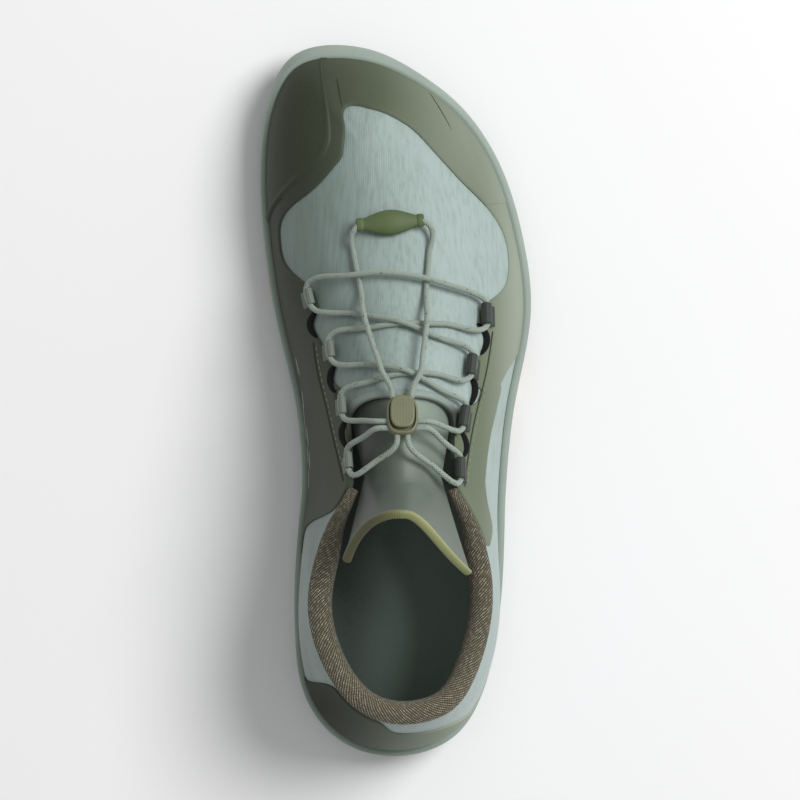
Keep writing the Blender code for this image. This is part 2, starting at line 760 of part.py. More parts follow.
def lug_outline(column, row, centre):
    """The lug of a cell: three-armed with one arm outwards, turned in the waist, studs between them at the heel."""
    along = centre[1] / SHOE_LENGTH
    if along < -0.22 and (column + row) % 2 == 0:
        return hexagon(centre, HEEL_STUD, HEEL_STUD * 0.9)
    turn = math.pi if -0.22 < along < 0.10 else 0.0
    return arm_star(centre, turn, 1.0)


def tread_lugs():
    lugs = []
    for column, row, centre in tread_cells():
        inside = room_inside(centre)
        along = centre[1] / SHOE_LENGTH
        on_arch = centre[0] < -0.19 * BALL_WIDTH and ARCH_BARE[0] < along < ARCH_BARE[1]
        if inside < LUG_ROOM or on_arch or (column, row) in RED_CELLS:
            continue
        top = kept_inside(lug_outline(column, row, centre), centre, LUG_MARGIN)
        tip = centre + (top - centre) * LUG_TAPER
        lugs.append((top, tip))
    return lugs


def lug_solid(name, top, tip, root, finish="sage_rubber"):
    """A tapered lug from its root height in the tread base down to the ground."""
    low = np.column_stack([tip, ground(tip[:, 1])])
    high = np.column_stack([top, ground(top[:, 1]) + root])
    return prism(name, low, high, finish)


def all_lugs_object():
    points, faces, start = [], [], 0
    for top, tip in tread_lugs():
        low = np.column_stack([tip, ground(tip[:, 1])])
        high = np.column_stack([top, ground(top[:, 1]) + LUG_DEPTH + 0.5 * TREAD_BASE])
        points += [low, high]
        faces += [tuple(start + i for i in face) for face in prism_faces(len(low))]
        start += 2 * len(low)
    made = mesh_object("tread_lugs", np.concatenate(points), faces, "sage_rubber", weld=1e-9)
    point_faces_out(made)
    return made


def outline_of(tiles):
    """The outer edge of tiles that share whole edges, as one loop of corners."""
    places, steps = {}, {}
    for tile in tiles:
        keys = [tuple(np.round(corner / (0.01 * MM)).astype(int)) for corner in tile]
        places.update(zip(keys, tile))
        for key, following in zip(keys, keys[1:] + keys[:1]):
            if steps.get(following) == key:
                del steps[following]
            else:
                steps[key] = following
    loop = [next(iter(steps))]
    while steps[loop[-1]] != loop[0]:
        loop.append(steps[loop[-1]])
    return np.array([places[key] for key in loop])


def make_red_insert():
    """A row of coloured lugs on one pad, set against the tread base under the ball of the foot."""
    pitch = TREAD_PITCH
    tiles, stars = [], []
    for column, row in RED_CELLS:
        centre = cell_centre(column, row)
        tiles.append(kept_inside(hexagon(centre, pitch * 4 / 3, pitch), centre, LUG_MARGIN))
        top = kept_inside(arm_star(centre, 0.0, 1.0), centre, LUG_MARGIN + GAP)
        tip = centre + (top - centre) * LUG_TAPER
        stars.append(lug_solid("star", top, tip, LUG_DEPTH - GAP - INSERT_PAD / 2, "red_rubber"))
    pad = outline_of(tiles)
    high = np.column_stack([pad, ground(pad[:, 1]) + LUG_DEPTH - GAP])
    low = high - np.array([0, 0, INSERT_PAD])
    return joined(prism("red_tread_insert", low, high, "red_rubber"), stars)


def make_insole(columns):
    """A thin foam sheet that fills the footbed inside the upper's wall."""
    inset = wall_curve(wrapped(columns))[..., 0] * BALL_WIDTH + UPPER_WALL + 3 * GAP
    base = LUG_DEPTH + TREAD_BASE + GAP
    low = edge_points(columns, inset, base)
    middle = edge_points(columns, inset - GAP, base + 0.6 * INSOLE_THICKNESS)
    high = edge_points(columns, inset + 0.8 * MM, base + INSOLE_THICKNESS)
    return ring_stack("insole", [low, middle, high], "insole_foam", bottom=True, top=True, across=5)


# Upper and what is laid on it

def make_upper(columns):
    return shell("upper", last_points(*np.meshgrid(columns, WALL_ROWS)), "pale_textile", UPPER_WALL, closed=True)


def edge_table(inner, outer):
    """Rows of q, low and high round the shoe; a film over the toe runs on past q = 1."""
    rows = [(e.station, e.low, e.high) for e in inner]
    over_toe = bool(inner and outer) and outer[-1].station == 1.0
    for e in outer:
        rows.append((2 - e.station if over_toe else -e.station, e.low, e.high))
    return np.array(sorted(set(rows)))


def film_columns(columns, knots, lows, highs):
    """The upper's own columns within a film's reach, its table's ends, and more where its edges climb steeply."""
    around = np.concatenate([columns, columns + 2])
    within = around[(around > knots[0] + MIN_STEP) & (around < knots[-1] - MIN_STEP)]
    coarse = np.concatenate([[knots[0]], np.sort(within), [knots[-1]]])
    coarse = np.unique(np.concatenate([coarse] + [[k] for k in knots if np.abs(coarse - k).min() > MIN_STEP]))
    fine = [coarse[0]]
    for before, after in zip(coarse, coarse[1:]):
        climbs = [abs(np.interp(after, knots, edge) - np.interp(before, knots, edge)) for edge in (lows, highs)]
        parts = int(max(climbs) / STEEPEST) + 1
        fine.extend(np.linspace(before, after, parts + 1)[1:])
    return np.array(fine)


def overlay(name, columns, inner=(), outer=(), layer=0):
    """A film on the upper between its table's edges, its points on the same columns and rows as the upper's."""
    knots, lows, highs = edge_table(inner, outer).T
    rim_at_knots = rim_share(wrapped(knots))
    lows = np.maximum(lows, rim_at_knots - FILM_TUCK if layer == 0 else rim_at_knots + FILM_TUCK)
    q = film_columns(columns, knots, lows, highs)
    low, high = np.interp(q, knots, lows), np.interp(q, knots, highs)
    for row in WALL_ROWS:
        low = np.where(np.abs(low - row) < ROW_SNAP, row, low)
        high = np.where(np.abs(high - row) < ROW_SNAP, row, high)
    v = np.clip(WALL_ROWS[:, None], low, np.maximum(high, low + ROW_SNAP))
    lift = (1 + layer) * (GAP + OVERLAY_FILM)
    return shell(name, last_points(np.broadcast_to(q, v.shape), v, lift), "olive_film", OVERLAY_FILM)


def collar_section(q):
    """The padded roll at q: it hooks over the wall's edge and hangs down inside, along the wall."""
    v = np.linspace(1, 0.5, 51)
    around = np.full(len(v), q)
    wall, normals = last_points(around, v), facing(bare_last, around[None], v[None])[0]
    drops = np.concatenate([[0], np.cumsum(np.linalg.norm(np.diff(wall, axis=0), axis=1))])
    up = unit(wall[0] - wall[2])
    narrowing = float(smooth_step(0.40, 0.28, abs(q)))
    width = COLLAR_WIDTH * (0.40 + 0.60 * narrowing)
    top = COLLAR_TOP * (0.65 + 0.35 * narrowing)
    depth = COLLAR_DEPTH * (0.6 + 0.4 * narrowing)
    beside = UPPER_WALL + 4 * GAP
    outline = (
        (beside, -depth),
        (beside, -0.66 * depth),
        (beside, -0.33 * depth),
        (beside, 3 * GAP),
        (0.05 * width, 3 * GAP),
        (-0.02 * width, 0.40 * top),
        (0.15 * width, 0.85 * top),
        (0.46 * width, top),
        (0.84 * width, 0.64 * top),
        (width, -0.10 * depth),
        (0.80 * width, -0.9 * depth),
    )
    section = []
    for aside, rise in outline:
        drop = max(-rise, 0)
        base = np.array([np.interp(drop, drops, wall[:, k]) for k in range(3)])
        normal = unit(np.array([np.interp(drop, drops, normals[:, k]) for k in range(3)]))
        section.append(base - normal * aside + up * max(rise, 0))
    return np.array(section)


def make_collar():
    ends = 0.385
    q = np.linspace(-ends, ends, 35)
    return section_loft("collar", [collar_section(one) for one in q], "collar_knit")


TONGUE_FRONT = 0.560
TONGUE_CLEAR = 0.400
TONGUE_SINK = UPPER_WALL + 3 * GAP


def tongue_half_width(s):
    return np.interp(s, (TONGUE_CLEAR, 0.45, TONGUE_FRONT), (1.0, 1.22, 1.30)) * TONGUE_HALF_WIDTH


def tongue_section(s, b):
    """Points across the tongue at a station, b from -1 on the outer side to +1 on the inner side."""
    u = np.linspace(0.2, 1, 161)
    points = []
    for one in b:
        q = s if one >= 0 else -s
        line = closed_last(np.full(len(u), q), u)
        half = np.abs(line[:, 0] - line[-1, 0])
        at = np.interp(-abs(one) * tongue_half_width(s), -half, u)
        q_at, u_at = np.array([q]), np.array([at])
        points.append((closed_last(q_at, u_at) - facing(closed_last, q_at, u_at) * TONGUE_SINK)[0])
    return np.array(points)


def tongue_grid(b):
    """The tongue from under the vamp to its free top, which rises and wraps round the front of the ankle."""
    rows = [tongue_section(s, b) for s in np.linspace(TONGUE_FRONT, TONGUE_CLEAR, 8)]
    base = rows[-1]
    for share in np.linspace(0, 1, 6)[1:]:
        back = (0.036 + 0.088 * b**2) * SHOE_LENGTH
        rise = TONGUE_RISE * (1 - 0.62 * b**2)
        drift = TONGUE_LEAN * b**2 - TONGUE_FLARE * b
        bend = share**1.25
        step = np.stack([drift * bend, -back * share, rise * (0.35 * share + 0.65 * bend)], axis=-1)
        rows.append(base + step)
    return np.array(rows)


def make_tongue():
    b = np.linspace(-1, 1, 11)
    grid = tongue_grid(b)
    rows, columns = grid.shape[:2]
    made = mesh_object("tongue", grid.reshape(-1, 3), grid_faces(rows, columns), "tongue_textile")
    aim_up(made)
    solid = made.modifiers.new("wall", "SOLIDIFY")
    solid.thickness = TONGUE_THICKNESS
    solid.offset = -1
    solid.use_even_offset = True
    return made


def aim_up(obj):
    """An open sheet's faces turned to look up."""
    work = bmesh.new()
    work.from_mesh(obj.data)
    if sum(face.normal.z for face in work.faces) < 0:
        bmesh.ops.reverse_faces(work, faces=work.faces)
    work.to_mesh(obj.data)
    work.free()


def make_tongue_binding():
    """A band along the tongue's top edge, just clear of it."""
    b = np.linspace(-1, 1, 15)
    top, below = tongue_grid(b)[-1], tongue_grid(b)[-2]
    run = unit(top - below)
    along_edge = unit(np.gradient(top, axis=0))
    thick = unit(np.cross(run, along_edge))
    thick *= np.sign(thick[:, 2:3])
    half = (TONGUE_THICKNESS + 2 * GAP) / 2
    centre = top - thick * TONGUE_THICKNESS / 2
    sections = []
    for middle, way, out in zip(centre, run, thick):
        corners = ((GAP, -half), (GAP, half), (BINDING_WIDTH * 0.8, half * 0.8), (BINDING_WIDTH * 0.8, -half * 0.8))
        sections.append(np.array([middle + way * a + out * t for a, t in corners]))
    return section_loft("tongue_binding", sections, "tongue_binding")


# Lace and fittings

def lace_height(loose=0.0):
    """Lift of the cord's middle over the closed form, above the overlays and loops' floor."""
    return 2 * GAP + OVERLAY_FILM + LOOP_BAND + CORD_CLEARANCE + CORD / 2 + loose


def plan_place(across, along):
    return across * BALL_WIDTH, along * SHOE_LENGTH


def make_loop(name, mouths, side):
    """A webbing loop: a flat tab on the eyestay and a ring round the cord, open between ring and tab."""
    (front, back), lift = mouth_places(mouths), lace_height()
    front, normal_front = over_the_foot(*front, lift)
    back, normal_back = over_the_foot(*back, lift)
    middle, normal = (front + back) / 2, unit(normal_front + normal_back)
    along = unit(front - back)
    normal = unit(normal - along * (normal @ along))
    outwards = np.cross(along, normal)
    outwards *= side * np.sign(outwards[0])
    ring = CORD / 2 + CORD_CLEARANCE + LOOP_BAND / 2
    path = [(ring + LOOP_TAB, -ring), (ring, -ring)]
    path += [(-ring * math.sin(a), -ring * math.cos(a)) for a in np.radians(np.arange(0, 281, 40))]
    path = np.array(path)
    run = unit(np.gradient(path, axis=0))
    half_band = np.stack([-run[:, 1], run[:, 0]], axis=-1) * LOOP_BAND / 2
    outline = np.concatenate([path + half_band, (path - half_band)[::-1]])
    flat = middle + outline[:, :1] * outwards + outline[:, 1:] * normal
    half = along * LOOP_LENGTH / 2
    return prism(name, flat - half, flat + half, "loop_webbing")


def mouth_places(mouths):
    """Front and back mouth of a loop, in plan."""
    front = np.array(plan_place(mouths.front_across, mouths.front_along))
    back = np.array(plan_place(mouths.back_across, mouths.back_along))
    return front, back


def lead_out(mouths, end, side):
    """Two places in plan where a cord leaves a loop: just clear of its mouth, and bent inwards from there."""
    front, back = mouth_places(mouths)
    way = unit(front - back) * (1 if end == "front" else -1)
    start = (front + back) / 2 + way * (LOOP_LENGTH / 2 + GAP + CAP_ROOM)
    return start, start + way * 0.7 * CORD - np.array([side * 0.8 * CORD, 0])


def lifted(place, lift):
    return over_the_foot(*place, lift)[0]


def laid_route(places, lifts):
    """Points along a cord laid on the foot through places in plan, its lift easing from one place to the next."""
    places = np.asarray(places, float)
    knots = np.concatenate([[0], np.cumsum(np.linalg.norm(np.diff(places, axis=0), axis=1))])
    along = np.linspace(0, knots[-1], max(5, int(knots[-1] / (2 * CORD))))
    plan = spline(knots, places)(along)
    i = np.clip(np.searchsorted(knots, along, side="right") - 1, 0, len(knots) - 2)
    lifts = np.asarray(lifts, float)
    lift = lifts[i] + (lifts[i + 1] - lifts[i]) * smooth_step(0, 1, (along - knots[i]) / (knots[i + 1] - knots[i]))
    return [lifted(place, height) for place, height in zip(plan, lift)]


def bar(name, start, end, bow, middle_lift, over=0.0):
    """A stretch of cord from one loop's mouth to another's, its middle bowed forwards and laid at a given lift."""
    (start_mouth, start_bend), (end_mouth, end_bend) = start, end
    places, lifts = [start_mouth], [lace_height()]
    for share in np.linspace(0, 1, 7):
        forwards = np.array([0, bow * SHOE_LENGTH * math.sin(math.pi * share)])
        places.append(start_bend + (end_bend - start_bend) * share + forwards)
        ends = share in (0, 1)
        lifts.append(lace_height() if ends else middle_lift + over * math.exp(-(((share - 0.5) / 0.17) ** 2)))
    return cord(name, laid_route(places + [end_mouth], lifts + [lace_height()]))


def as_solid(obj):
    """A closed mesh in place of a curve, its caps welded on."""
    graph = bpy.context.evaluated_depsgraph_get()
    mesh = bpy.data.meshes.new_from_object(obj.evaluated_get(graph))
    work = bmesh.new()
    work.from_mesh(mesh)
    bmesh.ops.remove_doubles(work, verts=work.verts, dist=1e-6)
    bmesh.ops.recalc_face_normals(work, faces=work.faces)
    work.to_mesh(mesh)
    work.free()
    name = obj.name
    made = bpy.data.objects.new(name + "_solid", mesh)
    made.matrix_world = obj.matrix_world
    SHOE.objects.link(made)
    bpy.data.objects.remove(obj)
    made.name = name
    return made


def toggle_place():
    """The cord lock's middle and its directions: across, along the foot and away from it."""
    base, _ = over_the_foot(0.0, TOGGLE_ALONG * SHOE_LENGTH)
    ahead, _ = over_the_foot(0.0, (TOGGLE_ALONG + 0.02) * SHOE_LENGTH)
    along = unit(ahead - base)
    across = np.array([1.0, 0.0, 0.0])
    away = np.cross(across, along)
    return base + away * (GAP + CORD / 2 + TOGGLE_HEIGHT / 2), across, along, away


def rounded_slab(name, middle, frame, half, corner, finish):
    """A moulded slab: an eight-sided outline, drawn in towards its top and bottom faces."""
    across, along, away = frame
    x, y, z = half
    ring = [(x - corner, -y), (x, -y + corner), (x, y - corner), (x - corner, y)]
    ring += [(-a, b) for a, b in reversed(ring)]
    sections = []
    for height, share in ((-z, 0.86), (-0.5 * z, 1.0), (0.35 * z, 1.0), (0.8 * z, 0.88), (z, 0.70)):
        sections.append(np.array([middle + across * a * share + along * b * share + away * height for a, b in ring]))
    return section_loft(name, sections, finish)


def make_toggle():
    middle, across, along, away = toggle_place()
    frame = (across, along, away)
    half = (TOGGLE_WIDTH / 2, TOGGLE_LENGTH / 2, TOGGLE_HEIGHT / 2)
    rounded_slab("toggle_body", middle, frame, half, TOGGLE_CORNER, "toggle_plastic")
    on_top = middle + away * (TOGGLE_HEIGHT / 2 + GAP + BUTTON_HEIGHT / 2) + along * 0.25 * TOGGLE_CORNER
    half = (BUTTON_WIDTH / 2, BUTTON_LENGTH / 2, BUTTON_HEIGHT / 2)
    rounded_slab("toggle_button", on_top, frame, half, 0.9 * TOGGLE_CORNER, "toggle_plastic")


def tab_place():
    middle, normal = over_the_foot(*plan_place(*TAB_PLACE), TAB_HEIGHT / 2 + GAP)
    across = np.array([1.0, TAB_TILT, 0.0])
    across = unit(across - normal * (normal @ across))
    return middle, across, unit(np.cross(normal, across)), normal


def make_pull_tab():
    """A moulded grip, thick in the middle with a collar at each end, lying across the vamp."""
    middle, across, along, normal = tab_place()
    profile = ((-0.50, 0.46), (-0.40, 0.50), (-0.38, 0.44), (-0.20, 0.80), (0.0, 1.0))
    profile += tuple((-a, w) for a, w in reversed(profile[:-1]))
    angles = np.radians(np.arange(0, 360, 36))
    sections = []
    for share, size in profile:
        flat = 0.70 + 0.30 * size
        ring = [
            middle
            + across * share * TAB_LENGTH
            + along * math.cos(a) * size * TAB_WIDTH / 2
            + normal * math.sin(a) * flat * TAB_HEIGHT / 2
            for a in angles
        ]
        sections.append(np.array(ring))
    return section_loft("pull_tab", sections, "tab_rubber")


def toggle_port(aside, ahead, reach=0.1 * CORD):
    """A place just clear of the cord lock's edge where a cord leaves it, as shares of its half sizes."""
    middle, across, along, away = toggle_place()
    out = GAP + reach
    sideways = across * (aside * TOGGLE_WIDTH / 2 + (np.sign(aside) * out if abs(aside) == 1 else 0))
    lengthways = along * (ahead * TOGGLE_LENGTH / 2 + (np.sign(ahead) * out if abs(ahead) == 1 else 0))
    return middle + sideways + lengthways


def strand_to_side(name, leading, side, ahead):
    """A cord from a loop's mouth to the cord lock's side."""
    mouth, bend = leading
    near, port = toggle_port(side, ahead, 1.2 * CORD), toggle_port(side, ahead)
    turn = lifted(bend, lace_height(0.3 * CORD))
    return cord(name, [lifted(mouth, lace_height()), turn, (turn + near) / 2, near, port])


def tail_strand(name, leading, side):
    """A cord's end from the last loop up into the cord lock's heel side."""
    mouth, bend = leading
    near, port = toggle_port(side * 0.34, -1, 1.2 * CORD), toggle_port(side * 0.32, -1)
    turn = lifted(bend, lace_height(0.2 * CORD))
    swing = turn * 0.5 + near * 0.5 - np.array([0, 0.5 * CORD, 0])
    return cord(name, [lifted(mouth, lace_height()), turn, swing, near, port])


def pull_strand(name, places, side):
    """One side of the cord's free end: from the lock over the crossings, under the front bar and into the grip."""
    middle, across, along, _ = tab_place()
    end = middle + across * side * (TAB_LENGTH / 2 + GAP + CAP_ROOM)
    turn = end + across * side * 0.6 * CORD - along * 0.9 * CORD
    rest = GAP + CORD / 2
    high = rest + 2 * (CORD + GAP)
    laid = laid_route([plan_place(*place) for place in places], (high, high, rest, rest))
    route = [toggle_port(side * 0.58, 1), toggle_port(side * 0.60, 1, 1.2 * CORD)]
    return cord(name, route + laid + [turn, end])


def make_lace():
    rest, over = 2 * GAP + CORD / 2, CORD + GAP
    (first_inner, *_), (first_outer, *_) = INNER_LOOPS, OUTER_LOOPS
    leads = lead_out(first_inner, "front", -1), lead_out(first_outer, "front", 1)
    bar("lace_front_bar", *leads, BAR_BOW, rest + over)
    for number, bow in enumerate(CROSSING_BOWS):
        back_inner, back_outer = lead_out(INNER_LOOPS[number], "back", -1), lead_out(OUTER_LOOPS[number], "back", 1)
        front_inner = lead_out(INNER_LOOPS[number + 1], "front", -1)
        front_outer = lead_out(OUTER_LOOPS[number + 1], "front", 1)
        low = as_solid(bar(f"lace_cross_{number + 1}", back_outer, front_inner, bow, rest))
        high = as_solid(bar("high", back_inner, front_outer, bow, rest, 0.7 * CORD))
        joined(low, [high])
    for label, side, loops in (("inner", -1, INNER_LOOPS), ("outer", 1, OUTER_LOOPS)):
        strand_to_side(f"lace_third_{label}", lead_out(loops[2], "back", side), side, -0.25)
        strand_to_side(f"lace_fourth_{label}", lead_out(loops[3], "front", side), side, -0.62)
        tail_strand(f"lace_tail_{label}", lead_out(loops[3], "back", side), side)
    pull_strand("lace_pull_inner", PULL_INNER, -1)
    pull_strand("lace_pull_outer", PULL_OUTER, 1)


# The shoe

def station_columns():
    """Stations from heel to toe, closer at the heel, the throat's front and the toe."""
    return np.concatenate(
        [
            np.linspace(0, 0.14, 6)[:-1],
            np.linspace(0.14, 0.39, 8)[:-1],
            np.linspace(0.39, THROAT_STATIONS[-1], 3)[:-1],
            THROAT_STATIONS[-1] + (THROAT_FRONT - THROAT_STATIONS[-1]) * np.sin(np.radians([0, 25, 50, 72])),
            np.linspace(THROAT_FRONT, 0.85, 8)[:-1],
            np.linspace(0.85, 1.0, 8),
        ]
    )


def build():
    stations = station_columns()
    columns = columns_round(stations)
    outsole = make_outsole(columns)
    joined(outsole, [all_lugs_object()])
    make_red_insert()
    make_insole(columns_round(stations[::2]))
    make_upper(columns)
    overlay("toe_cap", columns, TOE_CAP_INNER, TOE_CAP_OUTER)
    overlay("big_toe_panel", columns, inner=BIG_TOE_PANEL, layer=1)
    overlay("quarter_inner", columns, inner=QUARTER_INNER)
    overlay("quarter_outer", columns, outer=QUARTER_OUTER)
    overlay("heel_counter", columns, HEEL_COUNTER_INNER, HEEL_COUNTER_OUTER)
    make_collar()
    make_tongue()
    make_tongue_binding()
    for label, side, loops in (("inner", -1, INNER_LOOPS), ("outer", 1, OUTER_LOOPS)):
        for number, mouths in enumerate(loops, 1):
            make_loop(f"loop_{label}_{number}", mouths, side)
    make_lace()
    make_toggle()
    make_pull_tab()


for old in list(bpy.data.objects):
    bpy.data.objects.remove(old)
SHOE = bpy.data.collections.new("barefoot_shoe")
bpy.context.scene.collection.children.link(SHOE)
build()
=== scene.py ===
"""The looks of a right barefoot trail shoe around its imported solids: ribbed textile, olive films, padded
collar, elastic lace with its cord lock and grip, foam insole and lugged rubber sole.

Frame: metres, +Z up, +Y to the toe, +X to the outer (lateral) side, the floor at z = 0.

Every surface is a function of two numbers on a grid. On the shoe's wall they are q and v: q goes round the
shoe, 0 at the back of the heel, +1 at the toe along the inner (medial) side and -1 at the toe along the
outer side; v climbs the wall from 0 at the sole to 1 at the opening's edge or the ridge.
"""

import math
from collections import namedtuple

import bmesh
import bpy
import numpy as np
from mathutils import Matrix, Vector


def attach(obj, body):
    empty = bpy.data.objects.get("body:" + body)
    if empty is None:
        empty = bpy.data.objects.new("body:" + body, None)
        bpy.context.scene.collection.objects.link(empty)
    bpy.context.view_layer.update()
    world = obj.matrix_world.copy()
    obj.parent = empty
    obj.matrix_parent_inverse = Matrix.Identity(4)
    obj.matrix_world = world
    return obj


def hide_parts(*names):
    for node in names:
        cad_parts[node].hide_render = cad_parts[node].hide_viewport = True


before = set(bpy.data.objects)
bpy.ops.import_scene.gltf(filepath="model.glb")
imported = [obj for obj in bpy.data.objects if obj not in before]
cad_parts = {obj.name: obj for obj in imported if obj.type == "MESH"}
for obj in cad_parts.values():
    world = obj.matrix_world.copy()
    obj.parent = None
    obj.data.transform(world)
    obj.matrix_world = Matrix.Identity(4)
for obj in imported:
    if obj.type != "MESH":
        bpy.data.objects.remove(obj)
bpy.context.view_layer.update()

MM = 0.001

# Main sizes of the shoe, a European 42
SHOE_LENGTH = 285 * MM
BALL_WIDTH = 108.8 * MM
HEEL_WIDTH = 71.5 * MM
INSTEP_HEIGHT = 76 * MM
HEEL_HEIGHT = 72 * MM
TONGUE_RISE = 14 * MM

# Sole
LUG_DEPTH = 4 * MM
TREAD_BASE = 2.5 * MM
TOE_SPRING = 9 * MM
HEEL_LIFT = 2.5 * MM
RIM_HEIGHT = 12 * MM
RIM_LIP = 1.3 * MM
SOLE_TUCK = 2.4 * MM
TREAD_PITCH = 16.9 * MM
LUG_ARM_WIDTH = 6.2 * MM
LUG_ARM_LENGTH = 7.4 * MM
TREAD_STRETCH = 1.15
HEEL_STUD = 7.4 * MM

# Walls and layers
UPPER_WALL = 1.8 * MM
OVERLAY_FILM = 0.8 * MM
INSOLE_THICKNESS = 3 * MM
TONGUE_THICKNESS = 3 * MM
BINDING_WIDTH = 2.6 * MM
GAP = 0.3 * MM

# Collar and throat
COLLAR_WIDTH = 9.5 * MM
COLLAR_TOP = 6.2 * MM
COLLAR_DEPTH = 15 * MM
THROAT_HALF_WIDTH = 20.5 * MM
TONGUE_HALF_WIDTH = 17.4 * MM
TONGUE_FLARE = 5.8 * MM
TONGUE_LEAN = 1.5 * MM

# Lace and its fittings
CORD = 2.2 * MM
CORD_CLEARANCE = 0.25 * MM
LOOP_BAND = 0.8 * MM
LOOP_LENGTH = 6.5 * MM
LOOP_TAB = 4.5 * MM
TOGGLE_WIDTH = 13 * MM
TOGGLE_LENGTH = 15.5 * MM
TOGGLE_HEIGHT = 5.4 * MM
TOGGLE_CORNER = 3.2 * MM
BUTTON_WIDTH = 8.8 * MM
BUTTON_LENGTH = 12.6 * MM
BUTTON_HEIGHT = 1.6 * MM
TAB_LENGTH = 27 * MM
TAB_WIDTH = 10.2 * MM
TAB_HEIGHT = 5 * MM


def rows_of(kind, *rows):
    """A table: rows of numbers under the names of one kind."""
    return tuple(kind(*row) for row in rows)


# The sole's outline, one row for each station s from heel to toe. Across is a share of the named width,
# along a share of the shoe's length, both from the origin; the inner side lies at -X.
Outline = namedtuple("Outline", "station width inner_across inner_along outer_across outer_along")
OUTLINE = rows_of(
    Outline,
    (0.000, HEEL_WIDTH, 0.014, -0.500, 0.014, -0.500),
    (0.067, HEEL_WIDTH, -0.294, -0.479, 0.301, -0.472),
    (0.122, HEEL_WIDTH, -0.462, -0.426, 0.424, -0.421),
    (0.200, HEEL_WIDTH, -0.519, -0.333, 0.510, -0.333),
    (0.294, BALL_WIDTH, -0.344, -0.225, 0.380, -0.225),
    (0.390, BALL_WIDTH, -0.341, -0.112, 0.407, -0.112),
    (0.486, BALL_WIDTH, -0.370, 0.000, 0.443, 0.000),
    (0.592, BALL_WIDTH, -0.445, 0.121, 0.501, 0.121),
    (0.687, BALL_WIDTH, -0.490, 0.235, 0.474, 0.228),
    (0.773, BALL_WIDTH, -0.502, 0.330, 0.392, 0.330),
    (0.847, BALL_WIDTH, -0.481, 0.412, 0.262, 0.407),
    (0.906, BALL_WIDTH, -0.418, 0.471, 0.115, 0.454),
    (0.955, BALL_WIDTH, -0.326, 0.495, -0.055, 0.489),
    (1.000, BALL_WIDTH, -0.207, 0.500, -0.207, 0.500),
)

# The wall's form at the same stations: how far the upper stands in from the sole's edge, the rise of the
# wall and its reach under the ridge as shares of its own height and span, its bulge as a share of the ball
# width, and the height of the sole's rim as a share of RIM_HEIGHT.
Wall = namedtuple("Wall", "inset inner_rise outer_rise inner_bulge outer_bulge inner_reach outer_reach rim")
WALL = rows_of(
    Wall,
    (0.024, 0.40, 0.40, 0.010, 0.010, 0.45, 0.45, 1.15),
    (0.022, 0.40, 0.40, 0.020, 0.030, 0.45, 0.45, 1.05),
    (0.020, 0.40, 0.40, 0.045, 0.064, 0.45, 0.45, 0.96),
    (0.019, 0.42, 0.42, 0.063, 0.070, 0.45, 0.45, 0.92),
    (0.022, 0.45, 0.42, 0.060, 0.035, 0.45, 0.45, 0.90),
    (0.025, 0.46, 0.42, 0.035, 0.010, 0.44, 0.44, 0.90),
    (0.027, 0.47, 0.38, 0.030, 0.010, 0.44, 0.46, 0.90),
    (0.028, 0.50, 0.38, 0.030, 0.015, 0.46, 0.50, 0.92),
    (0.028, 0.54, 0.40, 0.030, 0.015, 0.50, 0.54, 0.95),
    (0.029, 0.56, 0.44, 0.030, 0.018, 0.52, 0.54, 1.00),
    (0.031, 0.56, 0.48, 0.026, 0.020, 0.52, 0.54, 1.08),
    (0.034, 0.54, 0.50, 0.020, 0.020, 0.52, 0.54, 1.15),
    (0.037, 0.52, 0.50, 0.018, 0.018, 0.52, 0.54, 1.20),
    (0.038, 0.50, 0.50, 0.018, 0.018, 0.54, 0.54, 1.22),
)

# The ridge along the top of the foot, from the front of the ankle to the toes, and the station whose wall
# meets it
Ridge = namedtuple("Ridge", "station along across height")
RIDGE = rows_of(
    Ridge,
    (0.330, -0.183, 0.005, 1.330), (0.360, -0.151, 0.005, 1.245), (0.390, -0.119, 0.005, 1.170),
    (0.430, -0.070, 0.003, 1.090), (0.455, -0.035, 0.001, 1.042), (0.505, 0.004, 0.000, 0.985),
    (0.592, 0.119, -0.018, 0.805), (0.687, 0.211, -0.050, 0.705), (0.773, 0.277, -0.087, 0.660),
    (0.847, 0.323, -0.119, 0.630), (0.906, 0.347, -0.138, 0.612), (0.955, 0.361, -0.147, 0.602),
    (1.000, 0.365, -0.151, 0.598),
)

# The collar's edge: half widths as shares of the heel's width, height as a share of the heel's, and how far
# the wall leans out below the edge as a share of the ball width
Collar = namedtuple("Collar", "station inner_half outer_half along height inner_lean outer_lean")
COLLAR = rows_of(
    Collar,
    (0.000, 0.000, 0.000, -0.443, 1.000, 0.075, 0.075),
    (0.067, -0.235, 0.250, -0.426, 0.985, 0.070, 0.070),
    (0.122, -0.380, 0.375, -0.388, 0.940, 0.055, 0.060),
    (0.200, -0.505, 0.480, -0.308, 0.850, 0.035, 0.055),
    (0.294, -0.470, 0.468, -0.214, 0.815, 0.030, 0.050),
    (0.350, -0.385, 0.385, -0.158, 0.920, 0.045, 0.060),
    (0.400, -0.285, 0.290, -0.106, 1.060, 0.060, 0.070),
    (0.430, -0.270, 0.275, -0.075, 1.070, 0.060, 0.070),
)
COLLAR_CENTRE = 0.012
COLLAR_PULL = 0.30

# Half width of the throat opening, as a share of THROAT_HALF_WIDTH, back to front
THROAT_STATIONS = (0.330, 0.360, 0.390, 0.430, 0.455)
THROAT_SHARES = (1.42, 1.22, 1.00, 1.00, 1.02)
THROAT_FRONT = 0.505
COLLAR_BLEND = (0.335, 0.400)

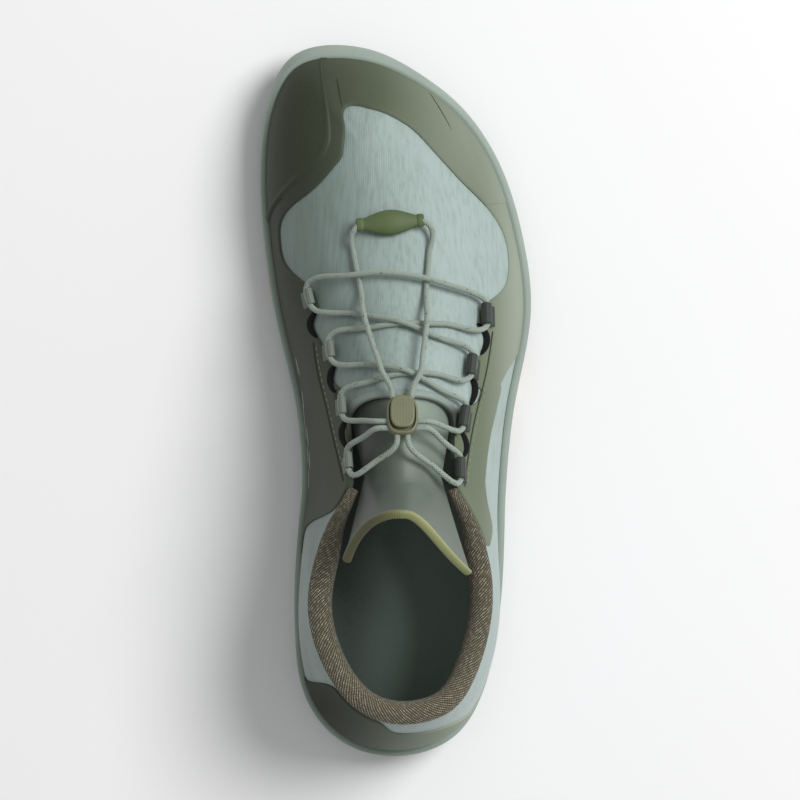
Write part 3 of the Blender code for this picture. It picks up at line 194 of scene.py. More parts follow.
# Film overlays: the v up the wall at which each film ends at each station, and the v at which it starts
# where that isn't 0, behind the sole's rim
Edge = namedtuple("Edge", "station high low", defaults=(0.0,))
TOE_CAP_INNER = rows_of(
    Edge,
    (0.734, 0.48), (0.758, 0.62), (0.795, 0.74), (0.843, 0.84), (0.905, 0.86), (0.958, 0.78), (1.000, 0.77),
)
TOE_CAP_OUTER = rows_of(
    Edge,
    (0.730, 0.45), (0.772, 0.54), (0.818, 0.61), (0.873, 0.65), (0.917, 0.70), (0.955, 0.77), (1.000, 0.77),
)
QUARTER_INNER = rows_of(
    Edge,
    (0.300, 0.26), (0.326, 0.36), (0.344, 0.62), (0.354, 0.96), (0.455, 0.97), (0.500, 0.64), (0.560, 0.51),
    (0.622, 0.51), (0.636, 0.38), (0.660, 0.28), (0.690, 0.29), (0.731, 0.47),
)
QUARTER_OUTER = rows_of(
    Edge,
    (0.308, 0.97, 0.90), (0.334, 0.97, 0.62), (0.392, 0.97, 0.59), (0.440, 0.97, 0.53), (0.470, 0.92, 0.46),
    (0.508, 0.60, 0.31), (0.532, 0.52, 0.22), (0.552, 0.50), (0.604, 0.53), (0.616, 0.41), (0.645, 0.32),
    (0.680, 0.29), (0.726, 0.38),
)
HEEL_COUNTER_OUTER = rows_of(
    Edge,
    (0.000, 0.82), (0.052, 0.76), (0.105, 0.47), (0.150, 0.30), (0.195, 0.24),
)

# Lace: where each webbing loop holds the cord, inner side first, as shares across of the ball width and
# along of the length. Each loop has a front and a back mouth.
Mouths = namedtuple("Mouths", "front_across front_along back_across back_along")
INNER_LOOPS = rows_of(
    Mouths,
    (-0.311, 0.161, -0.290, 0.126), (-0.232, 0.087, -0.221, 0.051), (-0.187, 0.008, -0.181, -0.024),
    (-0.167, -0.063, -0.158, -0.106),
)
OUTER_LOOPS = rows_of(
    Mouths,
    (0.296, 0.134, 0.296, 0.101), (0.241, 0.062, 0.230, 0.031), (0.212, -0.007, 0.197, -0.041),
    (0.186, -0.080, 0.185, -0.112),
)
BAR_BOW = 0.018
CROSSING_BOWS = (0.010, 0.015)
TOGGLE_ALONG = -0.028
TAB_PLACE = (-0.036, 0.243)
TAB_TILT = 0.09
PULL_INNER = ((-0.053, 0.031), (-0.109, 0.106), (-0.138, 0.154), (-0.167, 0.213))
PULL_OUTER = ((0.054, 0.031), (0.077, 0.098), (0.091, 0.150), (0.105, 0.205))
TABLE_STATIONS = tuple(row.station for row in OUTLINE)
CAP_ROOM = 0.45 * CORD


def spline(knots, values, closed=False):
    """A smooth cubic curve through rows of values: natural at its ends, or closed when first and last row
    agree."""
    x = np.asarray(knots, float)
    y = np.asarray(values, float).reshape(len(x), -1)
    step = np.diff(x)
    slope = np.diff(y, axis=0) / step[:, None]
    count = len(x)
    system = np.eye(count)
    right = np.zeros_like(y)
    for i in range(1, count - 1):
        system[i, i - 1 : i + 2] = step[i - 1], 2 * (step[i - 1] + step[i]), step[i]
        right[i] = 6 * (slope[i] - slope[i - 1])
    if closed:
        system[0, 0], system[0, 1] = 2 * (step[-1] + step[0]), step[0]
        system[0, -2] = step[-1]
        right[0] = 6 * (slope[0] - slope[-1])
        system[-1, 0], system[-1, -1] = -1, 1
    bend = np.linalg.solve(system, right)

    def at(t):
        t = np.asarray(t, float)
        flat = t.ravel()
        i = np.clip(np.searchsorted(x, flat, side="right") - 1, 0, count - 2)
        h, a, b = step[i][:, None], (x[i + 1] - flat)[:, None], (flat - x[i])[:, None]
        found = (bend[i] * a**3 + bend[i + 1] * b**3) / (6 * h)
        found += (y[i] / h - bend[i] * h / 6) * a + (y[i + 1] / h - bend[i + 1] * h / 6) * b
        return found.reshape(t.shape + (y.shape[1],))

    return at


def round_the_shoe(inner, outer):
    """A closed curve over q in -1..1 from values at the table's stations, inner side at +q, outer side at
    -q."""
    knots = [-s for s in reversed(TABLE_STATIONS)] + list(TABLE_STATIONS[1:])
    values = list(reversed(outer)) + list(inner[1:])
    return spline(knots, values, closed=True)


def smooth_step(low, high, x):
    """A share of 0 below low and 1 above high, eased in between: 3t^2 - 2t^3."""
    t = np.clip((np.asarray(x, float) - low) / (high - low), 0, 1)
    return t * t * (3 - 2 * t)


def wrapped(q):
    """q brought back into -1..1, as the toe is both +1 and -1."""
    return (np.asarray(q, float) + 1) % 2 - 1


def unit(vectors):
    """Vectors made one long."""
    return vectors / np.maximum(np.linalg.norm(vectors, axis=-1, keepdims=True), 1e-12)


outline_curve = round_the_shoe(
    [(row.inner_across * row.width, row.inner_along * SHOE_LENGTH) for row in OUTLINE],
    [(row.outer_across * row.width, row.outer_along * SHOE_LENGTH) for row in OUTLINE],
)
wall_curve = round_the_shoe(
    [(w.inset, w.inner_rise, w.inner_bulge, w.inner_reach, w.rim) for w in WALL],
    [(w.inset, w.outer_rise, w.outer_bulge, w.outer_reach, w.rim) for w in WALL],
)
ridge_along = spline([r.station for r in RIDGE], [r.along * SHOE_LENGTH for r in RIDGE])
ridge_place = spline(
    [r.along * SHOE_LENGTH for r in RIDGE],
    [(r.across * BALL_WIDTH, r.height * INSTEP_HEIGHT) for r in RIDGE],
)
collar_curve = spline(
    [-c.station for c in reversed(COLLAR)] + [c.station for c in COLLAR[1:]],
    [
        (c.outer_half * HEEL_WIDTH, c.along * SHOE_LENGTH, c.height * HEEL_HEIGHT, c.outer_lean * BALL_WIDTH)
        for c in reversed(COLLAR)
    ]
    + [
        (c.inner_half * HEEL_WIDTH, c.along * SHOE_LENGTH, c.height * HEEL_HEIGHT, c.inner_lean * BALL_WIDTH)
        for c in COLLAR[1:]
    ],
)


def ground(along):
    """Height of the sole's underside over the floor: flat, with the toe's spring and a slight lift at the
    heel."""
    toe_start, heel_start = 0.30 * SHOE_LENGTH, -0.45 * SHOE_LENGTH
    toe = np.clip((along - toe_start) / (0.5 * SHOE_LENGTH - toe_start), 0, None)
    heel = np.clip((heel_start - along) / (0.05 * SHOE_LENGTH), 0, None)
    return TOE_SPRING * toe**2 + HEEL_LIFT * heel**2


def outward(q):
    """Plan direction out of the sole's edge at q."""
    ahead, behind = outline_curve(wrapped(np.asarray(q) + 1e-4)), outline_curve(wrapped(np.asarray(q) - 1e-4))
    run = unit(ahead - behind)
    return np.stack([-run[..., 1], run[..., 0]], axis=-1)


def edge_points(q, inset, height):
    """Points round the sole at a plan distance in from its edge, a height over the sole's underside."""
    q = np.asarray(q, float)
    plan = outline_curve(wrapped(q)) - outward(q) * np.broadcast_to(inset, q.shape)[..., None]
    return np.concatenate([plan, (ground(plan[..., 1]) + height)[..., None]], axis=-1)


def feather(q):
    """The upper's lower edge, just over the sole's floor."""
    q = wrapped(q)
    return edge_points(q, wall_curve(q)[..., 0] * BALL_WIDTH, LUG_DEPTH + TREAD_BASE + GAP)


def bezier(points, t):
    """The cubic Bezier curve of four points, at t from 0 to 1."""
    t = np.asarray(t, float)[..., None]
    a, b, c, d = points
    return a * (1 - t) ** 3 + 3 * b * t * (1 - t) ** 2 + 3 * c * t**2 * (1 - t) + d * t**3


def bent(start, pull, end, t):
    """A curve from start to end drawn towards pull, the quadratic Bezier, at t from 0 to 1."""
    return start * (1 - t) ** 2 + pull * 2 * t * (1 - t) + end * t**2


def raised(plan_step, rise):
    """A step in plan with a rise as its third number."""
    return np.concatenate([plan_step, np.broadcast_to(rise, plan_step.shape[:-1])[..., None]], axis=-1)


def ridge_point(along):
    """The ridge's points at places along the shoe."""
    place = ridge_place(along)
    return np.stack([place[..., 0], np.asarray(along, float), place[..., 1]], axis=-1)


def closed_last(q, u):
    """The form closed over the top: from the sole's edge at u = 0 to the ridge at u = 1, without the
    opening."""
    q = wrapped(q)
    shape = wall_curve(q)
    foot = feather(q)
    along = ridge_along(np.abs(q))[..., 0]
    top = ridge_point(along)
    climb = top[..., 2] - foot[..., 2]
    low = foot + raised(outward(q) * (shape[..., 2] * BALL_WIDTH)[..., None], shape[..., 1] * climb)
    span = (foot - top)[..., :2] * shape[..., 3:4]
    tilt = (ridge_place(along + 0.5 * MM) - ridge_place(along - 0.5 * MM))[..., 1] / MM
    high = top + raised(span, span[..., 1] * tilt)
    return bezier((foot, low, high, top), u)


def collar_last(q, v):
    """The wall behind the throat: from the sole's edge up to the collar's edge."""
    q = wrapped(q)
    near = np.clip(q, -COLLAR[-1].station, COLLAR[-1].station)
    shape, edge = wall_curve(q), collar_curve(near)
    foot = feather(q)
    top = np.stack([edge[..., 0] + COLLAR_CENTRE * HEEL_WIDTH, edge[..., 1], edge[..., 2]], axis=-1)
    climb = top[..., 2] - foot[..., 2]
    low = foot + raised(outward(q) * (shape[..., 2] * BALL_WIDTH)[..., None], COLLAR_PULL * climb)
    high = top + raised(outward(q) * edge[..., 3:4], -COLLAR_PULL * climb)
    return bezier((foot, low, high, top), v)


def throat_half_width(s):
    """Half width of the throat at a station: a rounded slot that closes at THROAT_FRONT."""
    sides = np.interp(s, THROAT_STATIONS, THROAT_SHARES)
    back = THROAT_STATIONS[-1]
    closing = np.clip((s - back) / (THROAT_FRONT - back), 0, 1)
    return THROAT_HALF_WIDTH * sides * np.sqrt(1 - closing**2)


def throat_cut(q):
    """The u at which the closed form meets the throat's edge, 1 in front of the throat."""
    flat = wrapped(q).ravel()
    u = np.linspace(0.2, 1, 161)
    found = np.ones(len(flat))
    for i, one in enumerate(flat):
        if abs(one) >= THROAT_FRONT or abs(one) < THROAT_STATIONS[0] - 0.03:
            continue
        line = closed_last(np.full(len(u), one), u)
        half = np.abs(line[:, 0] - line[-1, 0])
        found[i] = np.interp(-throat_half_width(abs(one)), -half, u)
    return found.reshape(np.shape(q))


def bare_last(q, v):
    """The upper's outer face without films or creases: the collar's wall at the back, eased into the form
    closed over the top, which ends at the throat's edge."""
    weight = smooth_step(*COLLAR_BLEND, np.abs(wrapped(q)))[..., None]
    row = throat_cut(q[0] if q.ndim > 1 else q)
    front = closed_last(q, v * row)
    return weight * front + (1 - weight) * collar_last(q, v)


def facing(surface, q, v):
    """Outward normals of a surface over q and v."""
    step = 1e-3
    inner = np.clip(v, step, 1 - step)
    climb = surface(q, inner + step) - surface(q, inner - step)
    round_it = surface(q + step, inner) - surface(q - step, inner)
    return unit(np.cross(climb, round_it))


def arm_star(centre, turn):
    """A three-armed lug outline: square-ended arms and the notches between them."""
    half, length = LUG_ARM_WIDTH / 2, LUG_ARM_LENGTH
    notch = half / math.sin(math.pi / 3)
    points = []
    for arm in range(3):
        angle = turn + arm * 2 * math.pi / 3
        along = np.array([math.cos(angle), math.sin(angle)])
        aside = np.array([-along[1], along[0]])
        points += [along * length - aside * half, along * length + aside * half]
        between = angle + math.pi / 3
        points.append(notch * np.array([math.cos(between), math.sin(between)]))
    return centre + np.array(points) * np.array([TREAD_STRETCH, 1])


def hexagon(centre, across_x, across_y):
    """A flat-topped hexagon of the tread's grid, stretched across the sole."""
    x, y = across_x / 2, across_y / 2
    corners = [(x, 0), (x / 2, y), (-x / 2, y), (-x, 0), (-x / 2, -y), (x / 2, -y)]
    return np.array([centre + np.array(corner) for corner in corners])


def tread_cells():
    """The tread's cells as (column, row, centre): columns along the sole, every second one set half a pitch
    ahead."""
    columns = int(BALL_WIDTH / 2 / TREAD_PITCH) + 1
    rows = int(SHOE_LENGTH / 2 / TREAD_PITCH) + 1
    places = [(column, row) for column in range(-columns, columns + 1) for row in range(-rows, rows + 1)]
    return [(column, row, cell_centre(column, row)) for column, row in places]


def cell_centre(column, row):
    """The middle of a cell of the tread."""
    first = np.array(plan_place(*TREAD_START))
    return first + np.array([column, row + 0.5 * (column % 2)]) * TREAD_PITCH


TREAD_START = (0.044, 0.013)
RED_CELLS = ((0, 4), (-1, 3), (-2, 3), (-3, 2))
ARCH_BARE = (-0.115, 0.050)
LUG_MARGIN = SOLE_TUCK + 0.8 * MM
# Shares of the length: the heel's studs lie behind the first, and the lugs between the two point inwards
HEEL_PART, WAIST_END = -0.22, 0.10


def lug_outline(column, row, centre):
    """The lug of a cell: three-armed with one arm outwards, turned in the waist, studs between them at the
    heel."""
    along = centre[1] / SHOE_LENGTH
    if along < HEEL_PART and (column + row) % 2 == 0:
        return hexagon(centre, HEEL_STUD, HEEL_STUD * 0.9)
    return arm_star(centre, math.pi if HEEL_PART < along < WAIST_END else 0.0)


def edge_table(inner, outer):
    """Rows of q, low and high round the shoe; a film over the toe runs on past q = 1."""
    rows = [(e.station, e.low, e.high) for e in inner]
    over_toe = bool(inner and outer) and outer[-1].station == 1.0
    for e in outer:
        rows.append((2 - e.station if over_toe else -e.station, e.low, e.high))
    return np.array(sorted(set(rows)))


TONGUE_FRONT = 0.560
TONGUE_CLEAR = 0.400
TONGUE_SINK = UPPER_WALL + 3 * GAP


def tongue_half_width(s):
    """Half width of the tongue at a station."""
    return np.interp(s, (TONGUE_CLEAR, 0.45, TONGUE_FRONT), (1.0, 1.22, 1.30)) * TONGUE_HALF_WIDTH


def lace_height(loose=0.0):
    """Lift of the cord's middle over the closed form, above the overlays and loops' floor."""
    return 2 * GAP + OVERLAY_FILM + LOOP_BAND + CORD_CLEARANCE + CORD / 2 + loose


def plan_place(across, along):
    """A place in plan from shares of the ball width and of the shoe's length."""
    return across * BALL_WIDTH, along * SHOE_LENGTH


def mouth_places(mouths):
    """Front and back mouth of a loop, in plan."""
    front = np.array(plan_place(mouths.front_across, mouths.front_along))
    back = np.array(plan_place(mouths.back_across, mouths.back_along))
    return front, back


def lead_out(mouths, end, side):
    """Two places in plan where a cord leaves a loop: just clear of its mouth, and bent inwards from there."""
    front, back = mouth_places(mouths)
    way = unit(front - back) * (1 if end == "front" else -1)
    start = (front + back) / 2 + way * (LOOP_LENGTH / 2 + GAP + CAP_ROOM)
    return start, start + way * 0.7 * CORD - np.array([side * 0.8 * CORD, 0])


def lifted(place, lift):
    """A point over a place on the foot."""
    return over_the_foot(*place, lift)[0]


def laid_route(places, lifts):
    """Points along a cord laid on the foot through places in plan, its lift easing from one place to the
    next."""
    places = np.asarray(places, float)
    knots = lengths_along(places)
    along = np.linspace(0, knots[-1], max(5, int(knots[-1] / (2 * CORD))))
    plan = spline(knots, places)(along)
    i = np.clip(np.searchsorted(knots, along, side="right") - 1, 0, len(knots) - 2)
    lifts = np.asarray(lifts, float)
    share = smooth_step(0, 1, (along - knots[i]) / (knots[i + 1] - knots[i]))
    lift = lifts[i] + (lifts[i + 1] - lifts[i]) * share
    return [lifted(place, height) for place, height in zip(plan, lift)]


def toggle_place():
    """The cord lock's middle and its directions: across, along the foot and away from it."""
    base, _ = over_the_foot(0.0, TOGGLE_ALONG * SHOE_LENGTH)
    ahead, _ = over_the_foot(0.0, (TOGGLE_ALONG + 0.02) * SHOE_LENGTH)
    along = unit(ahead - base)
    across = np.array([1.0, 0.0, 0.0])
    away = np.cross(across, along)
    return base + away * (GAP + CORD / 2 + TOGGLE_HEIGHT / 2), across, along, away


def tab_place():
    """The grip's middle and its directions: across, along the foot and away from it."""
    middle, normal = over_the_foot(*plan_place(*TAB_PLACE), TAB_HEIGHT / 2 + GAP)
    across = np.array([1.0, TAB_TILT, 0.0])
    across = unit(across - normal * (normal @ across))
    return middle, across, unit(np.cross(normal, across)), normal


def toggle_port(aside, ahead, reach=0.1 * CORD):
    """A place just clear of the cord lock's edge where a cord leaves it, as shares of its half sizes."""
    middle, across, along, _ = toggle_place()
    for share, size, way in ((aside, TOGGLE_WIDTH, across), (ahead, TOGGLE_LENGTH, along)):
        out = np.sign(share) * (GAP + reach) if abs(share) == 1 else 0
        middle = middle + way * (share * size / 2 + out)
    return middle


# Meshes

def flat_faces(rows, columns, start=0):
    """Quads over a grid of rows by columns, as an array of four point numbers each."""
    r, c = np.meshgrid(np.arange(rows - 1), np.arange(columns - 1), indexing="ij")
    first = (start + r * columns + c).ravel()
    return np.stack([first, first + columns, first + columns + 1, first + 1], axis=1)


def strip_faces(first, second):
    """Quads between two rows of point numbers."""
    return np.stack([first[:-1], first[1:], second[1:], second[:-1]], axis=1)


def made_piece(name, points, quads, finishes, uv=None, finish_of=None, crease=40, attribute=None):
    """A welded mesh object, its faces turned outwards, its edges sharp where the faces meet at more than
    crease."""
    mesh = bpy.data.meshes.new(name)
    mesh.from_pydata(points.reshape(-1, 3).tolist(), [], quads.tolist())
    for finish in finishes:
        mesh.materials.append(finish)
    if uv is not None:
        layer = mesh.uv_layers.new(name="cloth")
        layer.data.foreach_set("uv", uv.reshape(-1, 2)[quads.ravel()].astype(np.float32).ravel())
    if finish_of is not None:
        mesh.polygons.foreach_set("material_index", finish_of.astype(np.int32))
    if attribute is not None:
        label, values = attribute
        layer = mesh.attributes.new(label, "FLOAT", "POINT")
        layer.data.foreach_set("value", values.astype(np.float32))
    work = bmesh.new()
    work.from_mesh(mesh)
    bmesh.ops.remove_doubles(work, verts=work.verts, dist=1e-7)
    bmesh.ops.recalc_face_normals(work, faces=work.faces)
    work.to_mesh(mesh)
    work.free()
    mesh.shade_smooth()
    mesh.set_sharp_from_angle(angle=math.radians(crease))
    made = bpy.data.objects.new(name, mesh)
    bpy.context.scene.collection.objects.link(made)
    return made


def slab(outer, inner, skip_top=None, closed=False):
    """Points and quads of a closed shell between two grids of one shape; a closed grid ends on its first
    column."""
    rows, columns = outer.shape[:2]
    count = rows * columns
    index = np.arange(count).reshape(rows, columns)
    top = strip_faces(index[-1], index[-1] + count)
    if skip_top is not None:
        top = top[~skip_top]
    quads = [flat_faces(rows, columns), flat_faces(rows, columns, count)[:, ::-1]]
    edges = [strip_faces(index[0], index[0] + count), top]
    if not closed:
        edges += [strip_faces(index[:, side], index[:, side] + count) for side in (0, -1)]
    kinds = np.repeat([0, 1, 2], [len(quads[0]), len(quads[1]), sum(len(one) for one in edges)])
    return np.concatenate([outer.reshape(-1, 3), inner.reshape(-1, 3)]), np.concatenate(quads + edges), kinds


def joined_grids(parts):
    """Several sets of points, quads and UVs as one."""
    points, quads, uvs, start = [], [], [], 0
    for one_points, one_quads, one_uv in parts:
        points.append(one_points.reshape(-1, 3))
        quads.append(one_quads + start)
        uvs.append(one_uv.reshape(-1, 2))
        start += len(points[-1])
    return np.concatenate(points), np.concatenate(quads), np.concatenate(uvs)


def lengths_along(points):
    """Distance from the first point of a row of points to each."""
    return np.concatenate([[0], np.cumsum(np.linalg.norm(np.diff(points, axis=0), axis=1))])


def evenly(route, step):
    """A smooth curve through a route's points, sampled a step apart."""
    route = np.asarray(route, float)
    knots = lengths_along(route)
    return spline(knots, route)(np.linspace(0, knots[-1], int(knots[-1] / step) + 2))


def tube(path, radius, sides=14):
    """A round bar along a path with rounded ends: rings square to it, UVs in metres round and along it."""
    run = unit(np.gradient(path, axis=0))
    across = unit(np.cross(run, np.array([0.05, 0.1, 1.0])))
    dome = np.radians([90, 60, 30])
    start = path[0] - run[0] * (radius * np.sin(dome))[:, None]
    end = path[-1] + run[-1] * (radius * np.sin(dome[::-1]))[:, None]
    centres = np.concatenate([start, path, end])
    sizes = radius * np.concatenate([np.cos(dome), np.ones(len(path)), np.cos(dome[::-1])])
    across, up = (np.pad(way, ((3, 3), (0, 0)), "edge") for way in (across, np.cross(across, run)))
    angles = np.linspace(0, 2 * np.pi, sides + 1)
    ring = across[:, None] * np.cos(angles)[:, None] + up[:, None] * np.sin(angles)[:, None]
    ring[:, -1] = ring[:, 0]
    uv = np.stack(np.broadcast_arrays(angles[None] * radius, lengths_along(centres)[:, None]), axis=-1)
    return centres[:, None] + ring * sizes[:, None, None], flat_faces(len(centres), sides + 1), uv


def loft(sections, ends=(0.9, 0.6, 0.0), reach=0.25):
    """A solid through closed sections with rounded ends, each section's first point repeated at its end."""
    sections = np.asarray(sections)
    middles = sections[:, :-1].mean(axis=1)
    size = np.linalg.norm(sections[0] - middles[0], axis=1).mean() * reach
    first, last = unit(middles[0] - middles[1]), unit(middles[-1] - middles[-2])
    before = [middles[0] + (sections[0] - middles[0]) * s + first * size * (1 - s) for s in reversed(ends)]
    after = [middles[-1] + (sections[-1] - middles[-1]) * s + last * size * (1 - s) for s in ends]
    grid = np.concatenate([np.array(before), sections, np.array(after)])
    along = lengths_along(grid.mean(axis=1))
    around = lengths_along(sections[len(sections) // 2])
    uv = np.stack(np.broadcast_arrays(along[:, None], around[None]), axis=-1)
    return grid, flat_faces(*grid.shape[:2]), uv


def worn(obj, nodes):
    """The piece rides on the shoe and stands for its solids, which it hides."""
    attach(obj, "root")
    if nodes:
        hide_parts(*nodes)
    return obj


def worn_patches(name, grids, finish):
    """Thin patches, each a top and a base grid, closed and worn as one piece."""
    parts = []
    for top, base in grids:
        points, quads, _ = slab(top, base)
        parts.append((points, quads, points[:, :2]))
    points, quads, _ = joined_grids(parts)
    worn(made_piece(name, points, quads, [finish]), [])


# Finishes

def colour(red, green, blue):
    """An sRGB colour of 0 to 255 as linear numbers."""
    share = np.array([red, green, blue]) / 255
    linear = np.where(share <= 0.04045, share / 12.92, ((share + 0.055) / 1.055) ** 2.4)
    return (*linear.tolist(), 1.0)


class Finish:
    """A material built from nodes round one Principled shader. Colours are given as sRGB numbers of 0 to
    255."""

    def __init__(self, name, roughness, **inputs):
        self.made = bpy.data.materials.new(name)
        self.made.use_nodes = True
        self.tree = self.made.node_tree
        self.shader = self.tree.nodes["Principled BSDF"]
        named = {key.replace("_", " "): value for key, value in inputs.items()}
        self.feed(self.shader, {"Roughness": roughness, **named})
        source = self.add("TexCoord")
        self.place, self.cloth = source.outputs["Object"], source.outputs["UV"]

    def feed(self, node, inputs):
        """Sets a node's inputs: links where the value is a node or a socket, numbers otherwise."""
        for key, value in inputs.items():
            if isinstance(value, bpy.types.Node):
                value = value.outputs[0]
            if isinstance(value, bpy.types.NodeSocket):
                self.tree.links.new(value, node.inputs[key])
            else:
                node.inputs[key].default_value = value

    def add(self, kind, inputs=None, **settings):
        node = self.tree.nodes.new("ShaderNode" + kind)
        for key, value in settings.items():
            setattr(node, key, value)
        self.feed(node, inputs or {})
        return node

    def axis(self, number):
        """The place along X, Y or Z, counted from 0."""
        return self.add("SeparateXYZ", {"Vector": self.place}).outputs[number]

    def stretched(self, cells, turn=0.0, source=None):
        """Coordinates with that many pattern cells to the metre, alike or along each axis, turned about Z."""
        scale = [float(count) for count in np.broadcast_to(cells, 3)]
        return self.add("Mapping", {"Vector": source or self.place, "Scale": scale, "Rotation": (0, 0, turn)})

    def noise(self, cells, detail=2.0, roughness=0.5, **turned):
        """Noise over the place, or over another source, with that many cells to the metre."""
        vector = self.stretched(cells, **turned)
        inputs = {"Vector": vector, "Scale": 1.0, "Detail": detail, "Roughness": roughness}
        return self.add("TexNoise", inputs)

    def ridges(self, cells, direction="X", distortion=0.0, detail=0.0, turn=0.0, source=None):
        """Sine ridges over the cloth's own UVs, one to each pattern cell."""
        vector = self.stretched(cells, turn, source or self.cloth)
        inputs = {"Vector": vector, "Scale": 0.314, "Distortion": distortion, "Detail": detail}
        return self.add("TexWave", inputs, bands_direction=direction, wave_profile="SIN")

    def maths(self, operation, *values):
        return self.add("Math", dict(enumerate(values)), operation=operation)

    def both(self, first, share, second, other_share):
        """The sum of two values, each times its share."""
        return self.maths("MULTIPLY_ADD", first, share, self.maths("MULTIPLY", second, other_share))

    def ramp(self, share, low, high):
        """A share eased from 0 at low to 1 at high."""
        inputs = {"Value": share, "From Min": low, "From Max": high}
        return self.add("MapRange", inputs, interpolation_type="SMOOTHSTEP")

    def mix(self, share, first, second):
        """One colour at a share of 0, the other at 1."""
        first, second = (colour(*one) if isinstance(one, tuple) else one for one in (first, second))
        return self.add("Mix", {0: share, 6: first, 7: second}, data_type="RGBA").outputs[2]

    def tint(self, base, share, strength, towards):
        """A colour drawn towards another by a share times a strength."""
        return self.mix(self.maths("MULTIPLY", share, strength), base, towards)

    def paint(self, value):
        self.feed(self.shader, {"Base Color": value})

    def relief(self, height, depth, strength=1.0, over=None):
        """Bump of a given depth in metres, laid over an earlier one."""
        inputs = {"Height": height, "Distance": depth, "Strength": strength}
        if over is not None:
            inputs["Normal"] = over
        bump = self.add("Bump", inputs)
        self.feed(self.shader, {"Normal": bump})
        return bump


# The foot's top as a table of places, for what is laid on it

def top_table(side):
    """Points and normals on the closed form's top for one side, over stations 0.34 to 1 and u 0.1 to 1."""
    q, u = np.meshgrid(side * np.linspace(0.34, 1.0, 265), np.linspace(0.1, 1, 141))
    return closed_last(q, u), facing(closed_last, q, u)


TOP = {side: top_table(side) for side in (-1, 1)}


def over_the_foot(across, along, lift=0.0):
    """A point above or below the closed form's top at a place in plan, and the form's normal there: the
    nearest table point's own tangent plane gives the height."""
    points, normals = TOP[1 if across < ridge_place(along)[0] else -1]
    away = (points[..., 0] - across) ** 2 + (points[..., 1] - along) ** 2
    row, column = np.unravel_index(np.argmin(away), away.shape)
    near, normal = points[row, column], normals[row, column]
    drop = (normal[0] * (across - near[0]) + normal[1] * (along - near[1])) / normal[2]
    return np.array([across, along, near[2] - drop]) + normal * lift, normal


# The shoe's skin

FILM = 0.60 * MM
FILM_BASE = 0.08 * MM
FILM_EDGE = 0.18 * MM
FILM_BEVEL = np.array([0.0, 0.15, 0.35, 0.60, 0.95]) * MM
FILM_COLUMNS = 330
FILM_ROW = 1.3 * MM
FILM_SINK = 0.02 * MM
FILM_TUCK = 0.016
FILM_LEAST = 0.02
BEAD = 0.40 * MM
BEAD_INSET = 2.0 * MM
BEAD_WIDTH = 1.2 * MM
RIM_CLEAR = 0.10 * MM
RIM_GAP = 0.006

# Creases listed on the upper, in plan: shares of the ball width across and of the length along, then
# the height of the fold over the surface, below it where negative, and its half width
Fold = namedtuple("Fold", "start_across start_along end_across end_along height width")
FOLDS = rows_of(
    Fold,
    (-0.22, 0.175, -0.17, 0.060, 0.35 * MM, 3.2 * MM),
    (-0.13, 0.165, -0.12, 0.050, -0.30 * MM, 3.0 * MM),
    (0.07, 0.175, 0.10, 0.050, -0.40 * MM, 3.6 * MM),
    (0.17, 0.150, 0.17, 0.040, 0.35 * MM, 3.6 * MM),
    (0.22, 0.400, 0.33, 0.290, -0.35 * MM, 1.6 * MM),
    (-0.40, 0.200, -0.32, 0.120, -0.35 * MM, 4.0 * MM),
    (0.36, 0.190, 0.30, 0.090, -0.30 * MM, 4.0 * MM),
)


def folds(points):
    """Height of the listed creases: a soft ridge or trough along each line, fading at its ends."""
    total = np.zeros(points.shape[:-1])
    for fold in FOLDS:
        start = np.array(plan_place(fold.start_across, fold.start_along))
        way = np.array(plan_place(fold.end_across, fold.end_along)) - start
        share = np.clip(((points[..., :2] - start) @ way) / (way @ way), 0, 1)
        away = np.linalg.norm(points[..., :2] - start - share[..., None] * way, axis=-1)
        fading = np.sin(np.pi * np.clip(share, 0.08, 0.92))
        total += fold.height * np.exp(-((away / fold.width) ** 2)) * fading
    return total


def skin(q, v, lift=0.0):
    """Points of the upper's outer face with its creases, lifted along the face's normals."""
    q, v = np.broadcast_arrays(np.asarray(q, float), np.asarray(v, float))
    points = bare_last(q, v)
    return points + facing(bare_last, q, v) * (lift + folds(points))[..., None]


def eased(knots, values):
    """A curve through values that never overshoots: cubic pieces whose slopes are the harmonic mean at each
    knot."""
    x, y = np.asarray(knots, float), np.asarray(values, float)
    step = np.diff(x)
    slope = np.diff(y) / step
    before, after = slope[:-1], slope[1:]
    meet = np.where(after * before > 0, 2 * after * before / (after + before + 1e-12), 0.0)
    tangent = np.concatenate([slope[:1], meet, slope[-1:]])

    def at(t):
        i = np.clip(np.searchsorted(x, t, side="right") - 1, 0, len(x) - 2)
        share = np.clip((t - x[i]) / step[i], 0, 1)
        a, b = tangent[i] * step[i], tangent[i + 1] * step[i]
        rise = y[i + 1] - y[i]
        return y[i] + share * (a + share * (3 * rise - 2 * a - b + share * (a + b - 2 * rise)))

    return at


def rim_share(q):
    """The v at which the upper passes the top of the sole's rim."""
    v = np.linspace(0, 0.5, 51)
    columns, rows = np.meshgrid(q, v)
    wall = bare_last(columns, rows)
    height = wall[..., 2] - ground(wall[..., 1])
    rim_top = LUG_DEPTH + wall_curve(wrapped(q))[..., 4] * RIM_HEIGHT
    return np.array([np.interp(rim_top[i], height[:, i], v) for i in range(len(q))])


def round_columns():
    """q once round the shoe from toe to toe, closer where the throat closes."""
    back = THROAT_STATIONS[-1]
    half = np.concatenate(
        [
            np.linspace(0, back, 96)[:-1],
            back + (THROAT_FRONT - back) * np.sin(np.linspace(0, np.pi / 2, 22)),
            np.linspace(THROAT_FRONT, 1, 92)[1:],
        ]
    )
    return np.concatenate([-half[::-1], half[1:]])


